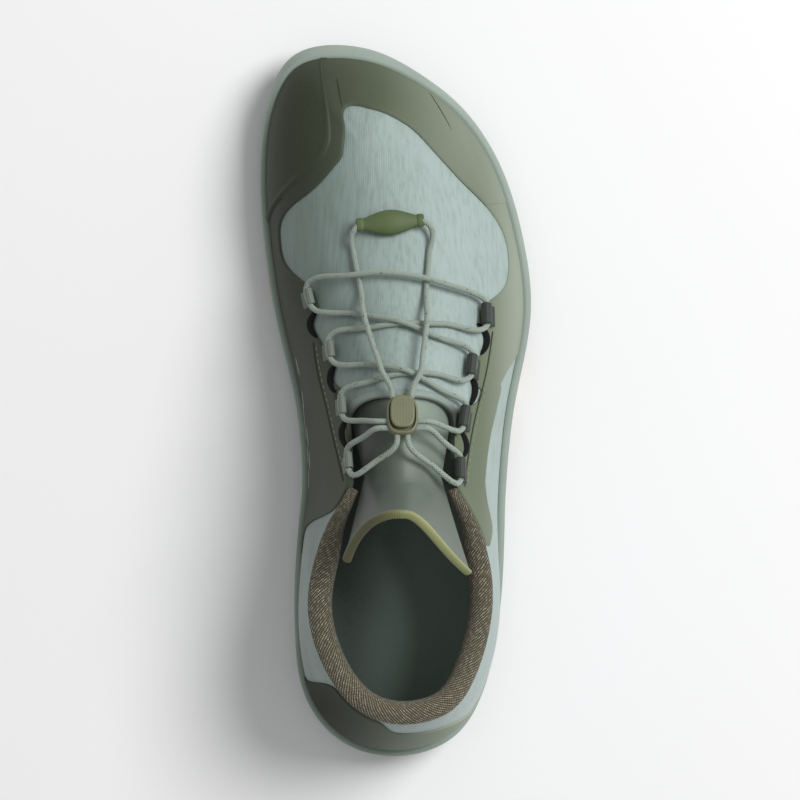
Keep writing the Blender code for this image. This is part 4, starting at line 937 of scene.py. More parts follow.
def upper_piece(textile, lining, edge):
    """The textile shell: outer face, lining and the cut edge round the collar and throat."""
    q = round_columns()
    rows = np.linspace(0, 1, 64)
    columns, v = np.meshgrid(q, rows)
    outer = skin(columns, v)
    inner = skin(columns, v, -UPPER_WALL)
    closed_over = np.abs(q) >= THROAT_FRONT - 1e-9
    for sheet in (outer, inner):
        middle = (sheet[-1] + sheet[-1, ::-1]) / 2
        sheet[-1, closed_over] = middle[closed_over]
        sheet[:, -1] = sheet[:, 0]
    skip = closed_over[:-1] & closed_over[1:]
    points, quads, kinds = slab(outer, inner, skip_top=skip, closed=True)
    made = made_piece("upper_textile", points, quads, [textile, lining, edge], finish_of=kinds)
    return worn(made, ["upper"])


COLLAR_END = 0.385

# The heel film's upper edge in the dressing: up to the collar on the inner side, a step down behind the heel
HEEL_FILM_INNER = rows_of(
    Edge,
    (0.000, 0.82), (0.014, 0.82), (0.030, 0.995), (0.122, 0.995), (0.134, 0.60), (0.150, 0.28),
)
# The big toe's panel in the dressing: it runs out thin along the rim at both ends
BIG_TOE_FILM = rows_of(
    Edge,
    (0.700, 0.14), (0.718, 0.25), (0.745, 0.42), (0.795, 0.65), (0.820, 0.72), (0.860, 0.76), (0.900, 0.73),
    (0.943, 0.58), (0.965, 0.36), (0.978, 0.20),
)
# The vamp window's edge as q and v: up the inner quarter, over the toe, and down the outer quarter with q
# past 1
WINDOW_EDGE = (
    (0.300, 0.26), (0.330, 0.36), (0.343, 0.62), (0.351, 0.98), (0.360, 1.00), (0.463, 1.00),
    (0.499, 0.66), (0.536, 0.58), (0.564, 0.48), (0.596, 0.53), (0.622, 0.50), (0.636, 0.38),
    (0.660, 0.28), (0.690, 0.29), (0.758, 0.62), (0.795, 0.74), (0.843, 0.84), (0.905, 0.86),
    (0.958, 0.79), (1.000, 0.772), (1.045, 0.755), (1.083, 0.70), (1.127, 0.65), (1.182, 0.61),
    (1.228, 0.54), (1.320, 0.29), (1.355, 0.32), (1.384, 0.41), (1.396, 0.53), (1.420, 0.575),
    (1.456, 0.535), (1.476, 0.61), (1.519, 0.785), (1.540, 0.98), (1.548, 1.00), (1.692, 1.00),
)
# Half-moons cut out of the films at the lace's turns, each as the q of its middle, its half length and its
# depth
EYELET_CUTS = (
    (0.580, 0.016, 0.065), (0.518, 0.018, 0.090), (1.438, 0.018, 0.055), (1.498, 0.021, 0.135),
)
EDGE_SOFTNESS = 0.007


def softened(curve, start, end):
    """A curve averaged over a bell-shaped stretch of q, so its corners turn round."""
    q = np.arange(start - 0.05, end + 0.05, 0.001)
    bell = np.exp(-((np.arange(-25, 26) * 0.001 / EDGE_SOFTNESS) ** 2) / 2)
    values = np.convolve(np.pad(curve(np.clip(q, start, end)), 25, "edge"), bell / bell.sum(), "valid")
    return lambda t: np.interp(t, q, values)


def window_edge():
    """The vamp window's edge over q: the soft curve through its table, with a half-moon taken out at each
    eyelet."""
    knots, highs = np.array(WINDOW_EDGE).T
    plain = softened(eased(knots, highs), knots[0], knots[-1])

    def edge(q):
        high = plain(q)
        for middle, half, depth in EYELET_CUTS:
            high = high - depth * np.clip(1 - ((q - middle) / half) ** 2, 0, 1) ** 0.6
        return high

    return edge


def film_piece(node, finish, inner=(), outer=(), layer=0, bead=0.0, tuck=0.0, window=None):
    """A film between its table's softened edges: full thickness inside, bevelled to a thin edge all round.
    Its toe end runs on by tuck under the next film, and a film at the vamp's window takes its top edge from
    there."""
    knots, lows, highs = edge_table(inner, outer).T
    toe_end = np.argmax(np.abs(knots))
    knots[toe_end] += tuck * np.sign(knots[toe_end])
    ends = FILM_BEVEL / (0.5 * SHOE_LENGTH) * 0.5
    count = int((knots[-1] - knots[0]) * FILM_COLUMNS)
    middle = np.linspace(knots[0] + ends[-1], knots[-1] - ends[-1], count)
    q = np.concatenate([knots[0] + ends[:-1], middle, (knots[-1] - ends[:-1])[::-1]])
    low = softened(eased(knots, lows), knots[0], knots[-1])(q)
    if window is None:
        high = softened(eased(knots, highs), knots[0], knots[-1])(q)
    else:
        high = window(np.where(q < 0, q + 2, q))
    low = np.maximum(low, rim_share(wrapped(q)) + RIM_GAP)
    high = np.maximum(high, low + FILM_LEAST)
    coarse = bare_last(*np.broadcast_arrays(q[None], low + (high - low) * np.linspace(0, 1, 9)[:, None]))
    width = np.linalg.norm(np.diff(coarse, axis=0), axis=-1).sum(axis=0)
    edge_rows = np.minimum(FILM_BEVEL[:, None] / width, 0.3)
    inside = np.linspace(0, 1, max(12, int(width.max() / FILM_ROW)))[1:-1, None]
    between = edge_rows[-1] + (1 - 2 * edge_rows[-1]) * inside
    share = np.concatenate([edge_rows, between, 1 - edge_rows[::-1]])
    v = low + (high - low) * share
    across = np.broadcast_to(q, v.shape)
    run = lengths_along(coarse[4])
    from_top = (1 - share) * width
    from_ends = np.minimum(run, run[-1] - run)
    edge = np.minimum(np.minimum(share * width, from_top), from_ends)
    base = FILM_BASE + layer * FILM
    lift = base + FILM_EDGE + (FILM - FILM_EDGE) * smooth_step(0, FILM_BEVEL[-1], edge)
    near = np.minimum(from_top, from_ends)
    lift = lift + bead * np.exp(-(((near - BEAD_INSET) / BEAD_WIDTH) ** 2))
    points, quads, _ = slab(skin(across, v, lift), skin(across, v, base - FILM_SINK))
    return worn(made_piece(node + "_film", points, quads, [finish]), [node])


def collar_sections(q):
    """The padded roll's closed outline at each q: it hooks over the wall's edge and hangs down inside,
    along it."""
    v = np.linspace(1, 0.5, 51)
    columns, rows = np.meshgrid(q, v)
    walls, normals = bare_last(columns, rows), facing(bare_last, columns, rows)
    sections = []
    for i, one in enumerate(q):
        wall, normal = walls[:, i], normals[:, i]
        drops = lengths_along(wall)
        up = unit(wall[0] - wall[2])
        narrowing = float(smooth_step(0.40, 0.28, abs(one)))
        width = COLLAR_WIDTH * (0.40 + 0.60 * narrowing)
        top = COLLAR_TOP * (0.65 + 0.35 * narrowing)
        depth = COLLAR_DEPTH * (0.6 + 0.4 * narrowing)
        beside = UPPER_WALL + 4 * GAP
        outline = (
            (beside, -depth),
            (beside, -0.66 * depth),
            (beside, -0.33 * depth),
            (beside, 3 * GAP),
            (0.05 * width, 3 * GAP),
            (-0.06 * width - 0.3 * MM, 0.32 * top),
            (0.12 * width, 0.85 * top),
            (0.46 * width, top),
            (0.84 * width, 0.64 * top),
            (width, -0.10 * depth),
            (0.80 * width, -0.9 * depth),
        )
        section = []
        for aside, rise in outline:
            drop = max(-rise, 0)
            base = np.array([np.interp(drop, drops, wall[:, k]) for k in range(3)])
            out = unit(np.array([np.interp(drop, drops, normal[:, k]) for k in range(3)]))
            section.append(base - out * aside + up * max(rise, 0))
        ring = np.array(section + section[:1])
        knots = lengths_along(ring)
        sections.append(spline(knots, ring, closed=True)(np.linspace(0, knots[-1], 45)))
    return sections


def collar_piece(knit):
    """The padded roll: smooth closed sections round the opening, full at the heel and slim at the throat."""
    grid, quads, uv = loft(collar_sections(np.linspace(-COLLAR_END, COLLAR_END, 230)))
    made = made_piece("collar_pad", grid, quads, [knit], uv=uv)
    worn(made, ["collar"])
    return made


def tongue_section(s, b):
    """Points across the tongue at a station, b from -1 on the outer side to +1 on the inner side."""
    q = np.where(b >= 0, s, -s)
    columns, rows = np.meshgrid(q, np.linspace(0.2, 1, 161))
    lines = closed_last(columns, rows)
    half = np.abs(lines[..., 0] - lines[-1, :, 0])
    wanted = np.abs(b) * tongue_half_width(s)
    u = np.array([np.interp(-w, -half[:, i], rows[:, 0]) for i, w in enumerate(wanted)])
    return closed_last(q, u) - facing(closed_last, q, u) * TONGUE_SINK


WING_SPREAD = 3.4 * MM
ARC_SHIFT = 1.3 * MM


def tongue_sheet_grid(b, front_rows, free_rows):
    """The tongue's top face from under the vamp to its free edge, which rises and wraps round the ankle."""
    rows = [tongue_section(s, b) for s in np.linspace(TONGUE_FRONT, TONGUE_CLEAR, front_rows)]
    base = rows[-1]
    back = (0.036 + (0.088 - 0.018 * smooth_step(0, 1, b)) * np.abs(b) ** (2.2 + 0.6 * b)) * SHOE_LENGTH
    rise = TONGUE_RISE * (1 - 0.62 * b**2)
    spread = np.where(b > 0, WING_SPREAD * np.sin(np.pi / 2 * b), WING_SPREAD * b**5) + ARC_SHIFT * (1 - b**2)
    for share in np.linspace(0, 1, free_rows)[1:]:
        bend = share**1.25
        drift = (TONGUE_LEAN * b**2 - TONGUE_FLARE * b) * bend - spread * share**0.7
        rows.append(base + np.stack([drift, -back * share, rise * (0.35 * share + 0.65 * bend)], axis=-1))
    return np.array(rows)


def tongue_piece(satin):
    """The tongue: its top face and its underside a thickness below, both edges drawn in."""
    b = np.linspace(-1, 1, 45)
    top = tongue_sheet_grid(b, 30, 26)
    down = facing_down(top)
    crown = 0.5 * MM * (1 - b**6)
    outer = top + down * (0.5 * MM - crown)[None, :, None]
    inner = top + down * (TONGUE_THICKNESS - 0.8 * MM * b**6)[None, :, None]
    points, quads, _ = slab(outer, inner)
    uv = np.stack([points[:, 0], points[:, 1]], axis=-1)
    made = made_piece("tongue_sheet", points, quads, [satin], uv=uv)
    return worn(made, ["tongue"])


def facing_down(grid):
    """Unit normals of a grid of points, turned to look down."""
    normal = unit(np.cross(np.gradient(grid, axis=0), np.gradient(grid, axis=1)))
    return np.where(normal[..., 2:3] > 0, -normal, normal)


def tongue_band_piece(finish):
    """A folded band over the tongue's free edge: a flattened round bar along it."""
    b = np.linspace(-1, 1, 81)
    grid = tongue_sheet_grid(b, 12, 14)
    down = facing_down(grid)[-1]
    run = unit(grid[-1] - grid[-2])
    middle = grid[-1] + down * TONGUE_THICKNESS / 2 + run * 0.3 * BINDING_WIDTH
    angles = np.linspace(0, 2 * np.pi, 21)
    wide, thick = (0.47 + 0.13 * b) * BINDING_WIDTH, 0.60 * TONGUE_THICKNESS
    flat = np.stack([np.cos(angles), np.sin(angles)])
    flat = np.sign(flat) * np.abs(flat) ** 0.8
    ring = run[:, None] * (flat[0] * wide[:, None])[..., None] + down[:, None] * (flat[1] * thick)[:, None]
    ring[:, -1] = ring[:, 0]
    grid, quads, uv = loft(middle[:, None] + ring)
    return worn(made_piece("tongue_band", grid, quads, [finish], uv=uv), ["tongue_binding"])


HEM_WIDTH = 2.8 * MM
HEM_THICKNESS = 0.55 * MM


def throat_hem_piece(finish):
    """A flat band round the throat's front edge, laid on the textile."""
    back = THROAT_STATIONS[-1]
    swing = np.linspace(-0.5, 0.5, 49) * np.pi
    reach = back - 0.012 + (THROAT_FRONT - back + 0.012) * np.cos(swing)
    q = reach * np.where(swing < 0, 1, -1)
    edge = skin(q, np.full(len(q), 0.999))
    run = unit(np.gradient(edge, axis=0))
    centre = np.array([0.0, edge[:, 1].min()])
    out = np.stack([run[:, 1], -run[:, 0]], axis=-1)
    out *= np.sign(np.sum(out * (edge[:, :2] - centre), axis=1))[:, None]
    rows = np.array([-0.10, 0.0, 0.12, 0.5, 0.88, 1.0])
    rise = np.array([-0.5, 0.6, 1.0, 1.1, 1.0, 0.35]) * HEM_THICKNESS
    outer, inner = [], []
    for share, lift in zip(rows, rise):
        places = edge[:, :2] + out * share * HEM_WIDTH
        laid = np.array([lifted(place, lift) for place in places])
        outer.append(laid)
        inner.append(np.array([lifted(place, min(lift, 0) - 0.15 * MM) for place in places]))
    points, quads, _ = slab(np.array(outer), np.array(inner))
    return worn(made_piece("throat_hem", points, quads, [finish]), [])


# Inside and sole

def across_to_middle(ring, shares):
    """Rows of points from a closed ring over q to its own middle line, which its two sides share."""
    mirrored = ring[::-1]
    middle = (ring + mirrored) / 2
    return np.array([ring + (middle - ring) * share for share in shares])


def insole_piece(foam):
    """The foam footbed: its rounded edge turned up a little all round, a shallow hollow at the heel."""
    q = round_columns()
    inset = wall_curve(wrapped(q))[..., 0] * BALL_WIDTH + UPPER_WALL + 3 * GAP
    base = LUG_DEPTH + TREAD_BASE + GAP
    low = edge_points(q, inset, base)
    top = edge_points(q, inset + 0.6 * MM, base + INSOLE_THICKNESS)
    for ring in (low, top):
        ring[-1] = ring[0]
    shares = np.array([0, 0.02, 0.05, 0.10, 0.18, 0.28, 0.4, 0.55, 0.7, 0.85, 1.0])
    rows = across_to_middle(top, shares)
    cup = 1.6 * MM * (1 - smooth_step(0.0, 0.30, shares))
    rows[..., 2] += (cup - 1.0 * MM * smooth_step(0.3, 1, shares) * 0.6)[:, None]
    rounded = np.array([low, low + [0, 0, 0.5 * INSOLE_THICKNESS], *rows])
    under = across_to_middle(low, shares[::-2])
    grid = np.concatenate([under, rounded])
    made = made_piece("insole_foam", grid, flat_faces(*grid.shape[:2]), [foam])
    return worn(made, ["insole"])


def rim_rings(q):
    """Rings of the sole's side from its underside up over the rim's lip and down inside it to the footbed."""
    rim_v = rim_share(q)
    inside_top, inside_middle, floor_edge = (skin(q, share * rim_v, RIM_CLEAR) for share in (1, 0.5, 0))
    floor_edge[:, 2] = ground(floor_edge[:, 1]) + LUG_DEPTH + TREAD_BASE
    out = raised(outward(q), 0.0)
    lip = inside_top + out * (RIM_LIP + 1.6 * MM)
    up = np.array([0.0, 0.0, 1.0])
    under, widest = edge_points(q, SOLE_TUCK, LUG_DEPTH), edge_points(q, 0.0, LUG_DEPTH + 0.30 * RIM_HEIGHT)
    corner = under + out * 0.75 * SOLE_TUCK + up * 0.2 * MM
    side = (widest + lip) / 2 + out * 0.5 * MM
    crown = (lip + inside_top) / 2 + up * 0.5 * MM
    over_lip = (lip - up * 0.35 * MM, lip + up * 0.25 * MM, crown)
    down_inside = (crown, inside_top + up * 0.3 * MM, inside_top)
    rings = [bent(under, corner, widest, t) for t in np.linspace(0, 1, 6)]
    rings += [bent(widest, side, lip, t) for t in np.linspace(0, 1, 7)[1:-1]]
    rings += [bent(*curve, t) for curve in (over_lip, down_inside) for t in np.linspace(0, 1, 4)[:-1]]
    rings = np.array(rings + [inside_top, inside_middle, floor_edge])
    rings[:, -1] = rings[:, 0]
    return rings


def room_inside(places):
    """How far places in plan lie inside the sole's edge, negative outside, and the edge's direction there."""
    q = np.linspace(-1, 1, 721)
    edge = outline_curve(q)
    away = places[..., None, :] - edge
    nearest = np.argmin(np.linalg.norm(away, axis=-1), axis=-1)
    out = outward(q)[nearest]
    gap = np.take_along_axis(away, nearest[..., None, None], axis=-2)[..., 0, :]
    return -np.sum(gap * out, axis=-1), out


def kept_inside(points, margin):
    """Outline points outside the sole's edge moved straight in to it."""
    room, out = room_inside(points)
    return points - out * np.maximum(margin - room, 0)[..., None]


TILE_DEPTH = 0.8 * MM
TILE_GROOVE = 0.9 * MM
PEAK = 0.80


def bevelled(outline, centre, levels):
    """A solid standing on the tread: rings of one outline at (height over the ground, share of its size)."""
    ring = np.concatenate([outline, outline[:1]])
    grid = []
    for height, share in levels:
        plan = centre + (ring - centre) * share
        grid.append(np.column_stack([plan, ground(plan[:, 1]) + height]))
    grid = np.array(grid)
    return grid, flat_faces(*grid.shape[:2]), grid[..., :2]


def denser(outline, parts=3):
    """An outline with its sides cut into equal parts, so that colours can change along them."""
    following = np.roll(outline, -1, axis=0)
    share = np.linspace(0, 1, parts + 1)[:-1]
    return (outline[:, None] + (following - outline)[:, None] * share[:, None]).reshape(-1, 2)


def lug_parts(column, row, centre):
    """A tile with its grooves and the lug that stands on it."""
    pitch = TREAD_PITCH
    middle = kept_inside(centre[None], 2 * SOLE_TUCK)[0]
    tile = kept_inside(denser(hexagon(centre, pitch * 4 / 3 - TILE_GROOVE, pitch - TILE_GROOVE)), SOLE_TUCK)
    base = LUG_DEPTH + 0.4 * TREAD_BASE
    face = LUG_DEPTH - TILE_DEPTH
    levels = ((base, 1.0), (face + 0.3 * MM, 1.0), (face, 0.965), (face, 0.5), (face, 0.0))
    parts = [bevelled(tile, middle, levels)]
    if room_inside(centre)[0] > -0.02 * pitch:
        top = kept_inside(denser(lug_outline(column, row, centre), 2), LUG_MARGIN)
        sides = ((base, 1.0), (face, 1.0), (0.45 * face, 0.93), (0.35 * MM, 0.86))
        parts.append(bevelled(top, middle, sides + ((0, PEAK), (0, 0.4), (0, 0))))
    return parts


def outsole_piece(rubber):
    """The rubber sole: rim, underside and footbed in one skin, with its tiles and lugs sunk into the
    underside."""
    q = round_columns()
    rings = rim_rings(q)
    shares = np.linspace(1, 0, 22)
    under = across_to_middle(rings[0], shares)[:-1]
    under[..., 2] = ground(under[..., 1]) + LUG_DEPTH
    footbed = across_to_middle(rings[-1], np.linspace(0, 1, 5)[1:])
    grid = np.concatenate([under, rings, footbed])
    parts = [(grid, flat_faces(*grid.shape[:2]), grid[..., :2])]
    for column, row, centre in tread_cells():
        along = centre[1] / SHOE_LENGTH
        on_arch = centre[0] < -0.19 * BALL_WIDTH and ARCH_BARE[0] < along < ARCH_BARE[1]
        if room_inside(centre)[0] > -0.1 * TREAD_PITCH and not on_arch and (column, row) not in RED_CELLS:
            parts += lug_parts(column, row, centre)
    points, quads, uv = joined_grids(parts)
    band = band_distance(points[:, :2])
    made = made_piece("outsole_rubber", points, quads, [rubber], uv=uv, crease=28, attribute=("band", band))
    return worn(made, ["outsole"])


# The worn-look band under the sole: places in plan along it and its half width in millimetres, from under
# the second toe, then from the ball round the outer side to the heel
TOE_BAND = ((0.10, 0.375, 3.0), (0.11, 0.33, 4.5), (0.15, 0.27, 4.0), (0.16, 0.21, 2.5))
LONG_BAND = (
    (-0.02, 0.155, 6.0), (0.10, 0.135, 11.0), (0.28, 0.110, 11.0), (0.37, 0.045, 8.0),
    (0.34, -0.045, 6.0), (0.27, -0.130, 6.5), (0.16, -0.220, 8.5), (0.10, -0.290, 8.0),
    (0.09, -0.335, 4.0),
)


def band_distance(places):
    """Distance in millimetres from the edge of the band under the sole, negative inside it."""
    nearest = np.full(len(places), 1e3)
    for line in (TOE_BAND, LONG_BAND):
        knots = np.array([plan_place(across, along) for across, along, _ in line])
        t = lengths_along(knots)
        fine = np.linspace(0, t[-1], 90)
        way = spline(t, np.column_stack([knots, [row[2] * MM for row in line]]))(fine)
        for x, y, half in way:
            nearest = np.minimum(nearest, (np.hypot(places[:, 0] - x, places[:, 1] - y) - half) / MM)
    return nearest


def red_tread_piece(rubber):
    """The coloured tiles and lugs in a row under the ball."""
    parts = []
    for column, row in RED_CELLS:
        parts += lug_parts(column, row, cell_centre(column, row))
    points, quads, uv = joined_grids(parts)
    made = made_piece("red_tread", points, quads, [rubber], uv=uv, crease=28)
    return worn(made, ["red_tread_insert"])


# Lace

def bar_route(start, end, bow, middle_lift, over=0.0):
    """A stretch of cord between two loops' mouths, its middle bowed forwards and laid at a given lift."""
    (start_mouth, start_bend), (end_mouth, end_bend) = start, end
    places, lifts = [start_mouth], [lace_height()]
    for share in np.linspace(0, 1, 7):
        forwards = np.array([0, bow * SHOE_LENGTH * math.sin(math.pi * share)])
        places.append(start_bend + (end_bend - start_bend) * share + forwards)
        ends = share in (0, 1)
        lifts.append(lace_height() if ends else middle_lift + over * math.exp(-(((share - 0.5) / 0.17) ** 2)))
    return laid_route(places + [end_mouth], lifts + [lace_height()])


def side_route(leading, side, ahead):
    """A cord from a loop's mouth into the cord lock's side."""
    mouth, bend = leading
    near, port = toggle_port(side, ahead, 1.2 * CORD), toggle_port(side * 0.8, ahead)
    turn = lifted(bend, lace_height(0.3 * CORD))
    return [lifted(mouth, lace_height()), turn, (turn + near) / 2, near, port]


def tail_route(leading, side):
    """A cord's end from the last loop up into the cord lock's heel side."""
    mouth, bend = leading
    near, port = toggle_port(side * 0.34, -1, 1.2 * CORD), toggle_port(side * 0.32, -0.8)
    turn = lifted(bend, lace_height(0.2 * CORD))
    swing = turn * 0.5 + near * 0.5 - np.array([0, 0.5 * CORD, 0])
    return [lifted(mouth, lace_height()), turn, swing, near, port]


def lace_runs():
    """The lace's three runs through its loops: one long zigzag run, and a short run round each last loop."""
    rest, over = 2 * GAP + CORD / 2, CORD + GAP
    lead = {}
    for side, loops in ((-1, INNER_LOOPS), (1, OUTER_LOOPS)):
        for number, mouths in enumerate(loops):
            for end in ("front", "back"):
                lead[side, number, end] = lead_out(mouths, end, side)
    front = bar_route(lead[-1, 0, "front"], lead[1, 0, "front"], BAR_BOW, rest + over)
    low, high = [], []
    for number, bow in enumerate(CROSSING_BOWS):
        low.append(bar_route(lead[1, number, "back"], lead[-1, number + 1, "front"], bow, rest))
        high.append(bar_route(lead[-1, number, "back"], lead[1, number + 1, "front"], bow, rest, 1.05 * CORD))
    inner_end, outer_end = (side_route(lead[side, 2, "back"], side, -0.25) for side in (-1, 1))
    long_run = inner_end[::-1] + low[1][::-1] + high[0][::-1] + front + low[0] + high[1] + outer_end
    runs = [("lace_zigzag", long_run)]
    for label, side in (("inner", -1), ("outer", 1)):
        ahead = side_route(lead[side, 3, "front"], side, -0.62)
        behind = tail_route(lead[side, 3, "back"], side)
        runs.append((f"lace_back_{label}", ahead[::-1] + behind))
    return runs


ZIGZAG_NODES = ("lace_front_bar", "lace_cross_1", "lace_cross_2", "lace_third_inner", "lace_third_outer")


def lace_pieces(braid):
    """The lace as round braided cords along its runs, smooth where they turn."""
    for name, route in lace_runs():
        label = name.rsplit("_", 1)[-1]
        points, quads, uv = tube(evenly(route, 0.55 * MM), CORD / 2)
        nodes = ZIGZAG_NODES if name == "lace_zigzag" else (f"lace_fourth_{label}", f"lace_tail_{label}")
        worn(made_piece(name, points, quads, [braid], uv=uv, crease=60), nodes)


def relaxed(path, tightest):
    """A path whose bends tighter than a radius are eased out step by step, its ends kept."""
    for _ in range(400):
        turn = path[:-2] - 2 * path[1:-1] + path[2:]
        step = np.linalg.norm(np.diff(path, axis=0), axis=1)
        tight = np.linalg.norm(turn, axis=1) / (step[:-1] * step[1:]) > 1 / tightest
        if not tight.any():
            break
        near = np.convolve(tight, np.ones(5), "same") > 0
        path[1:-1] += 0.25 * turn * near[:, None]
    return path


def pull_route(places, side):
    """The lace's free end: out of the cord lock, over the crossings, under the front bar and into the
    grip."""
    middle, across, along, _ = tab_place()
    end = middle + across * side * (TAB_LENGTH / 2 - 1.2 * MM)
    turn = middle + across * side * (TAB_LENGTH / 2 + GAP + CAP_ROOM + 0.6 * CORD) - along * 0.9 * CORD
    rest = GAP + CORD / 2
    high = rest + 2 * (CORD + GAP)
    laid = laid_route([plan_place(*place) for place in places], (high, high, rest, rest))
    return [toggle_port(side * 0.58, 1), toggle_port(side * 0.60, 1, 1.2 * CORD)] + laid + [turn, end]


def pull_pieces(braid, grip):
    """The two free cords from the cord lock to the grip."""
    for label, places, side in (("inner", PULL_INNER, -1), ("outer", PULL_OUTER, 1)):
        path = relaxed(evenly(pull_route(places, side), 0.8 * MM), 2.2 * CORD)
        points, quads, uv = tube(path, CORD / 2)
        made = made_piece(f"pull_cord_{label}", points, quads, [braid], uv=uv, crease=60)
        worn(made, [f"lace_pull_{label}"])


def loop_piece(label, mouths, side, webbing, length, snug):
    """A webbing loop: a band that lies flat on the eyestay, turns up round the cord and comes back under
    it. A snug share below 1 draws it closer to the cord and thinner."""
    (front, back), lift = mouth_places(mouths), lace_height()
    front, normal_front = over_the_foot(*front, lift)
    back, normal_back = over_the_foot(*back, lift)
    middle, normal = (front + back) / 2, unit(normal_front + normal_back)
    along = unit(front - back)
    normal = unit(normal - along * (normal @ along))
    outwards = np.cross(along, normal)
    outwards *= side * np.sign(outwards[0])
    bed = CORD / 2 + CORD_CLEARANCE + LOOP_BAND / 2
    ring = CORD / 2 + snug * (CORD_CLEARANCE + LOOP_BAND / 2)
    flat = np.stack([np.linspace(bed + LOOP_TAB, 0.4 * bed, 12), np.full(12, -bed)], axis=1)
    flat[:, 1] -= 0.12 * MM
    angles = np.radians(np.linspace(4, 300, 44))
    path = np.concatenate([flat, np.stack([-ring * np.sin(angles), -ring * np.cos(angles)], axis=1)])
    run = unit(np.gradient(path, axis=0))
    half_band = np.stack([-run[:, 1], run[:, 0]], axis=-1) * snug * LOOP_BAND / 2
    rows = np.array([-1, -0.97, -0.9, -0.6, -0.3, 0, 0.3, 0.6, 0.9, 0.97, 1])
    thin = np.array([0.35, 0.75, 1, 1, 1, 1, 1, 1, 1, 0.75, 0.35])
    sheets = []
    for sign in (1, -1):
        drawn = path[None] + sign * half_band[None] * thin[:, None, None]
        place = middle + drawn[..., :1] * outwards + drawn[..., 1:] * normal
        sheets.append(place + along * (rows * length / 2)[:, None, None])
    points, quads, _ = slab(*sheets)
    across = np.stack(np.broadcast_arrays(rows[:, None] * length / 2, lengths_along(path)[None]), axis=-1)
    uv = np.concatenate([across.reshape(-1, 2)] * 2)
    worn(made_piece(f"webbing_{label}", points, quads, [webbing], uv=uv), [f"loop_{label}"])


def rounded_outline(half_x, half_y, power=2.9, count=73):
    """A rounded oblong: x and y as the sine and cosine raised to two over the power."""
    angles = np.linspace(0, 2 * np.pi, count)
    turn = np.stack([np.cos(angles), np.sin(angles)], 1)
    ring = np.sign(turn) * np.abs(turn) ** (2 / power) * (half_x, half_y)
    ring[-1] = ring[0]
    return ring


def moulded(name, middle, half, levels, half_height, finish, node):
    """A moulded slab: the rounded outline carried through levels of height and size, both as shares of its
    half height and outline, closed at both ends."""
    _, across, along, away = toggle_place()
    height, share = np.array(levels).T
    plan = rounded_outline(*half) * share[:, None, None]
    rise = (height * half_height)[:, None, None]
    grid = middle + plan[..., :1] * across + plan[..., 1:] * along + away * rise
    quads = flat_faces(*grid.shape[:2])
    worn(made_piece(name, grid, quads, [finish], uv=plan, crease=35), [node])


def cord_lock_pieces(plastic, dotted):
    """The cord lock's body with a rim round its recess, and the button that stands in it."""
    middle, _, along, away = toggle_place()
    half = (0.47 * TOGGLE_WIDTH, 0.52 * TOGGLE_LENGTH)
    rim = 1 - 1.0 * MM / half[0]
    body = (
        (-1, 0.0), (-1, 0.5), (-1, 0.84), (-0.92, 0.92), (-0.7, 0.98), (-0.3, 1.0), (0.4, 1.0),
        (0.72, 0.975), (0.92, 0.94), (1, 0.89), (1, rim + 0.03), (0.93, rim), (0.55, rim - 0.02),
        (0.5, rim - 0.05), (0.5, 0.3), (0.5, 0.0),
    )
    moulded("cord_lock_body", middle, half, body, TOGGLE_HEIGHT / 2, plastic, "toggle_body")
    top = middle + away * (TOGGLE_HEIGHT / 2 + GAP + BUTTON_HEIGHT / 2) + along * 0.25 * TOGGLE_CORNER
    half = (0.55 * BUTTON_WIDTH, 0.54 * BUTTON_LENGTH)
    button = (
        (-2.4, 0.0), (-2.4, 0.9), (-0.2, 0.97), (0.3, 0.96), (0.62, 0.92), (0.72, 0.86), (0.72, 0.84),
        (0.72, 0.5), (0.72, 0.0),
    )
    moulded("cord_lock_button", top, half, button, BUTTON_HEIGHT / 2, dotted, "toggle_button")


GRIP_PROFILE = (
    (-0.500, 0.00), (-0.500, 0.36), (-0.492, 0.46), (-0.470, 0.52), (-0.420, 0.53), (-0.402, 0.50),
    (-0.392, 0.44), (-0.375, 0.47), (-0.340, 0.54), (-0.270, 0.68), (-0.180, 0.84), (-0.090, 0.96),
    (0.000, 1.00),
)


def grip_piece(rubber):
    """The moulded grip: oval rings along a profile, full in the middle, with a collar at each end."""
    middle, across, along, normal = tab_place()
    profile = GRIP_PROFILE + tuple((-a, w) for a, w in GRIP_PROFILE[-2::-1])
    share, size = np.array(profile).T
    angles = np.linspace(0, 2 * np.pi, 37)
    ring = along * np.cos(angles)[:, None] * TAB_WIDTH / 2
    high = normal * np.sin(angles)[:, None] * TAB_HEIGHT / 2
    flat = (0.70 + 0.30 * size) * size
    grid = middle + (across * (share * TAB_LENGTH)[:, None])[:, None] + ring * size[:, None, None]
    grid = grid + high * flat[:, None, None]
    grid[:, -1] = grid[:, 0]
    made = made_piece("pull_grip", grid, flat_faces(*grid.shape[:2]), [rubber], crease=30)
    return worn(made, ["pull_tab"])


# Small trim on the upper: places are shares across of the ball width and along of the length

SLOTS = (
    ((0.279, 0.106), (0.317, 0.086), (0.292, 0.062)),
    ((0.241, 0.036), (0.270, 0.017), (0.249, -0.008)),
    ((0.203, -0.039), (0.233, -0.062), (0.213, -0.081)),
    ((0.200, -0.106), (0.206, -0.112), (0.202, -0.119)),
    ((-0.288, 0.126), (-0.318, 0.105), (-0.291, 0.086)),
    ((-0.225, 0.049), (-0.247, 0.030), (-0.228, 0.009)),
    ((-0.185, -0.026), (-0.206, -0.045), (-0.187, -0.068)),
)
SLOT_WIDTH = 2.5 * MM
RIBBON_STEP = 0.8 * MM
BLUNT_END = 1.05
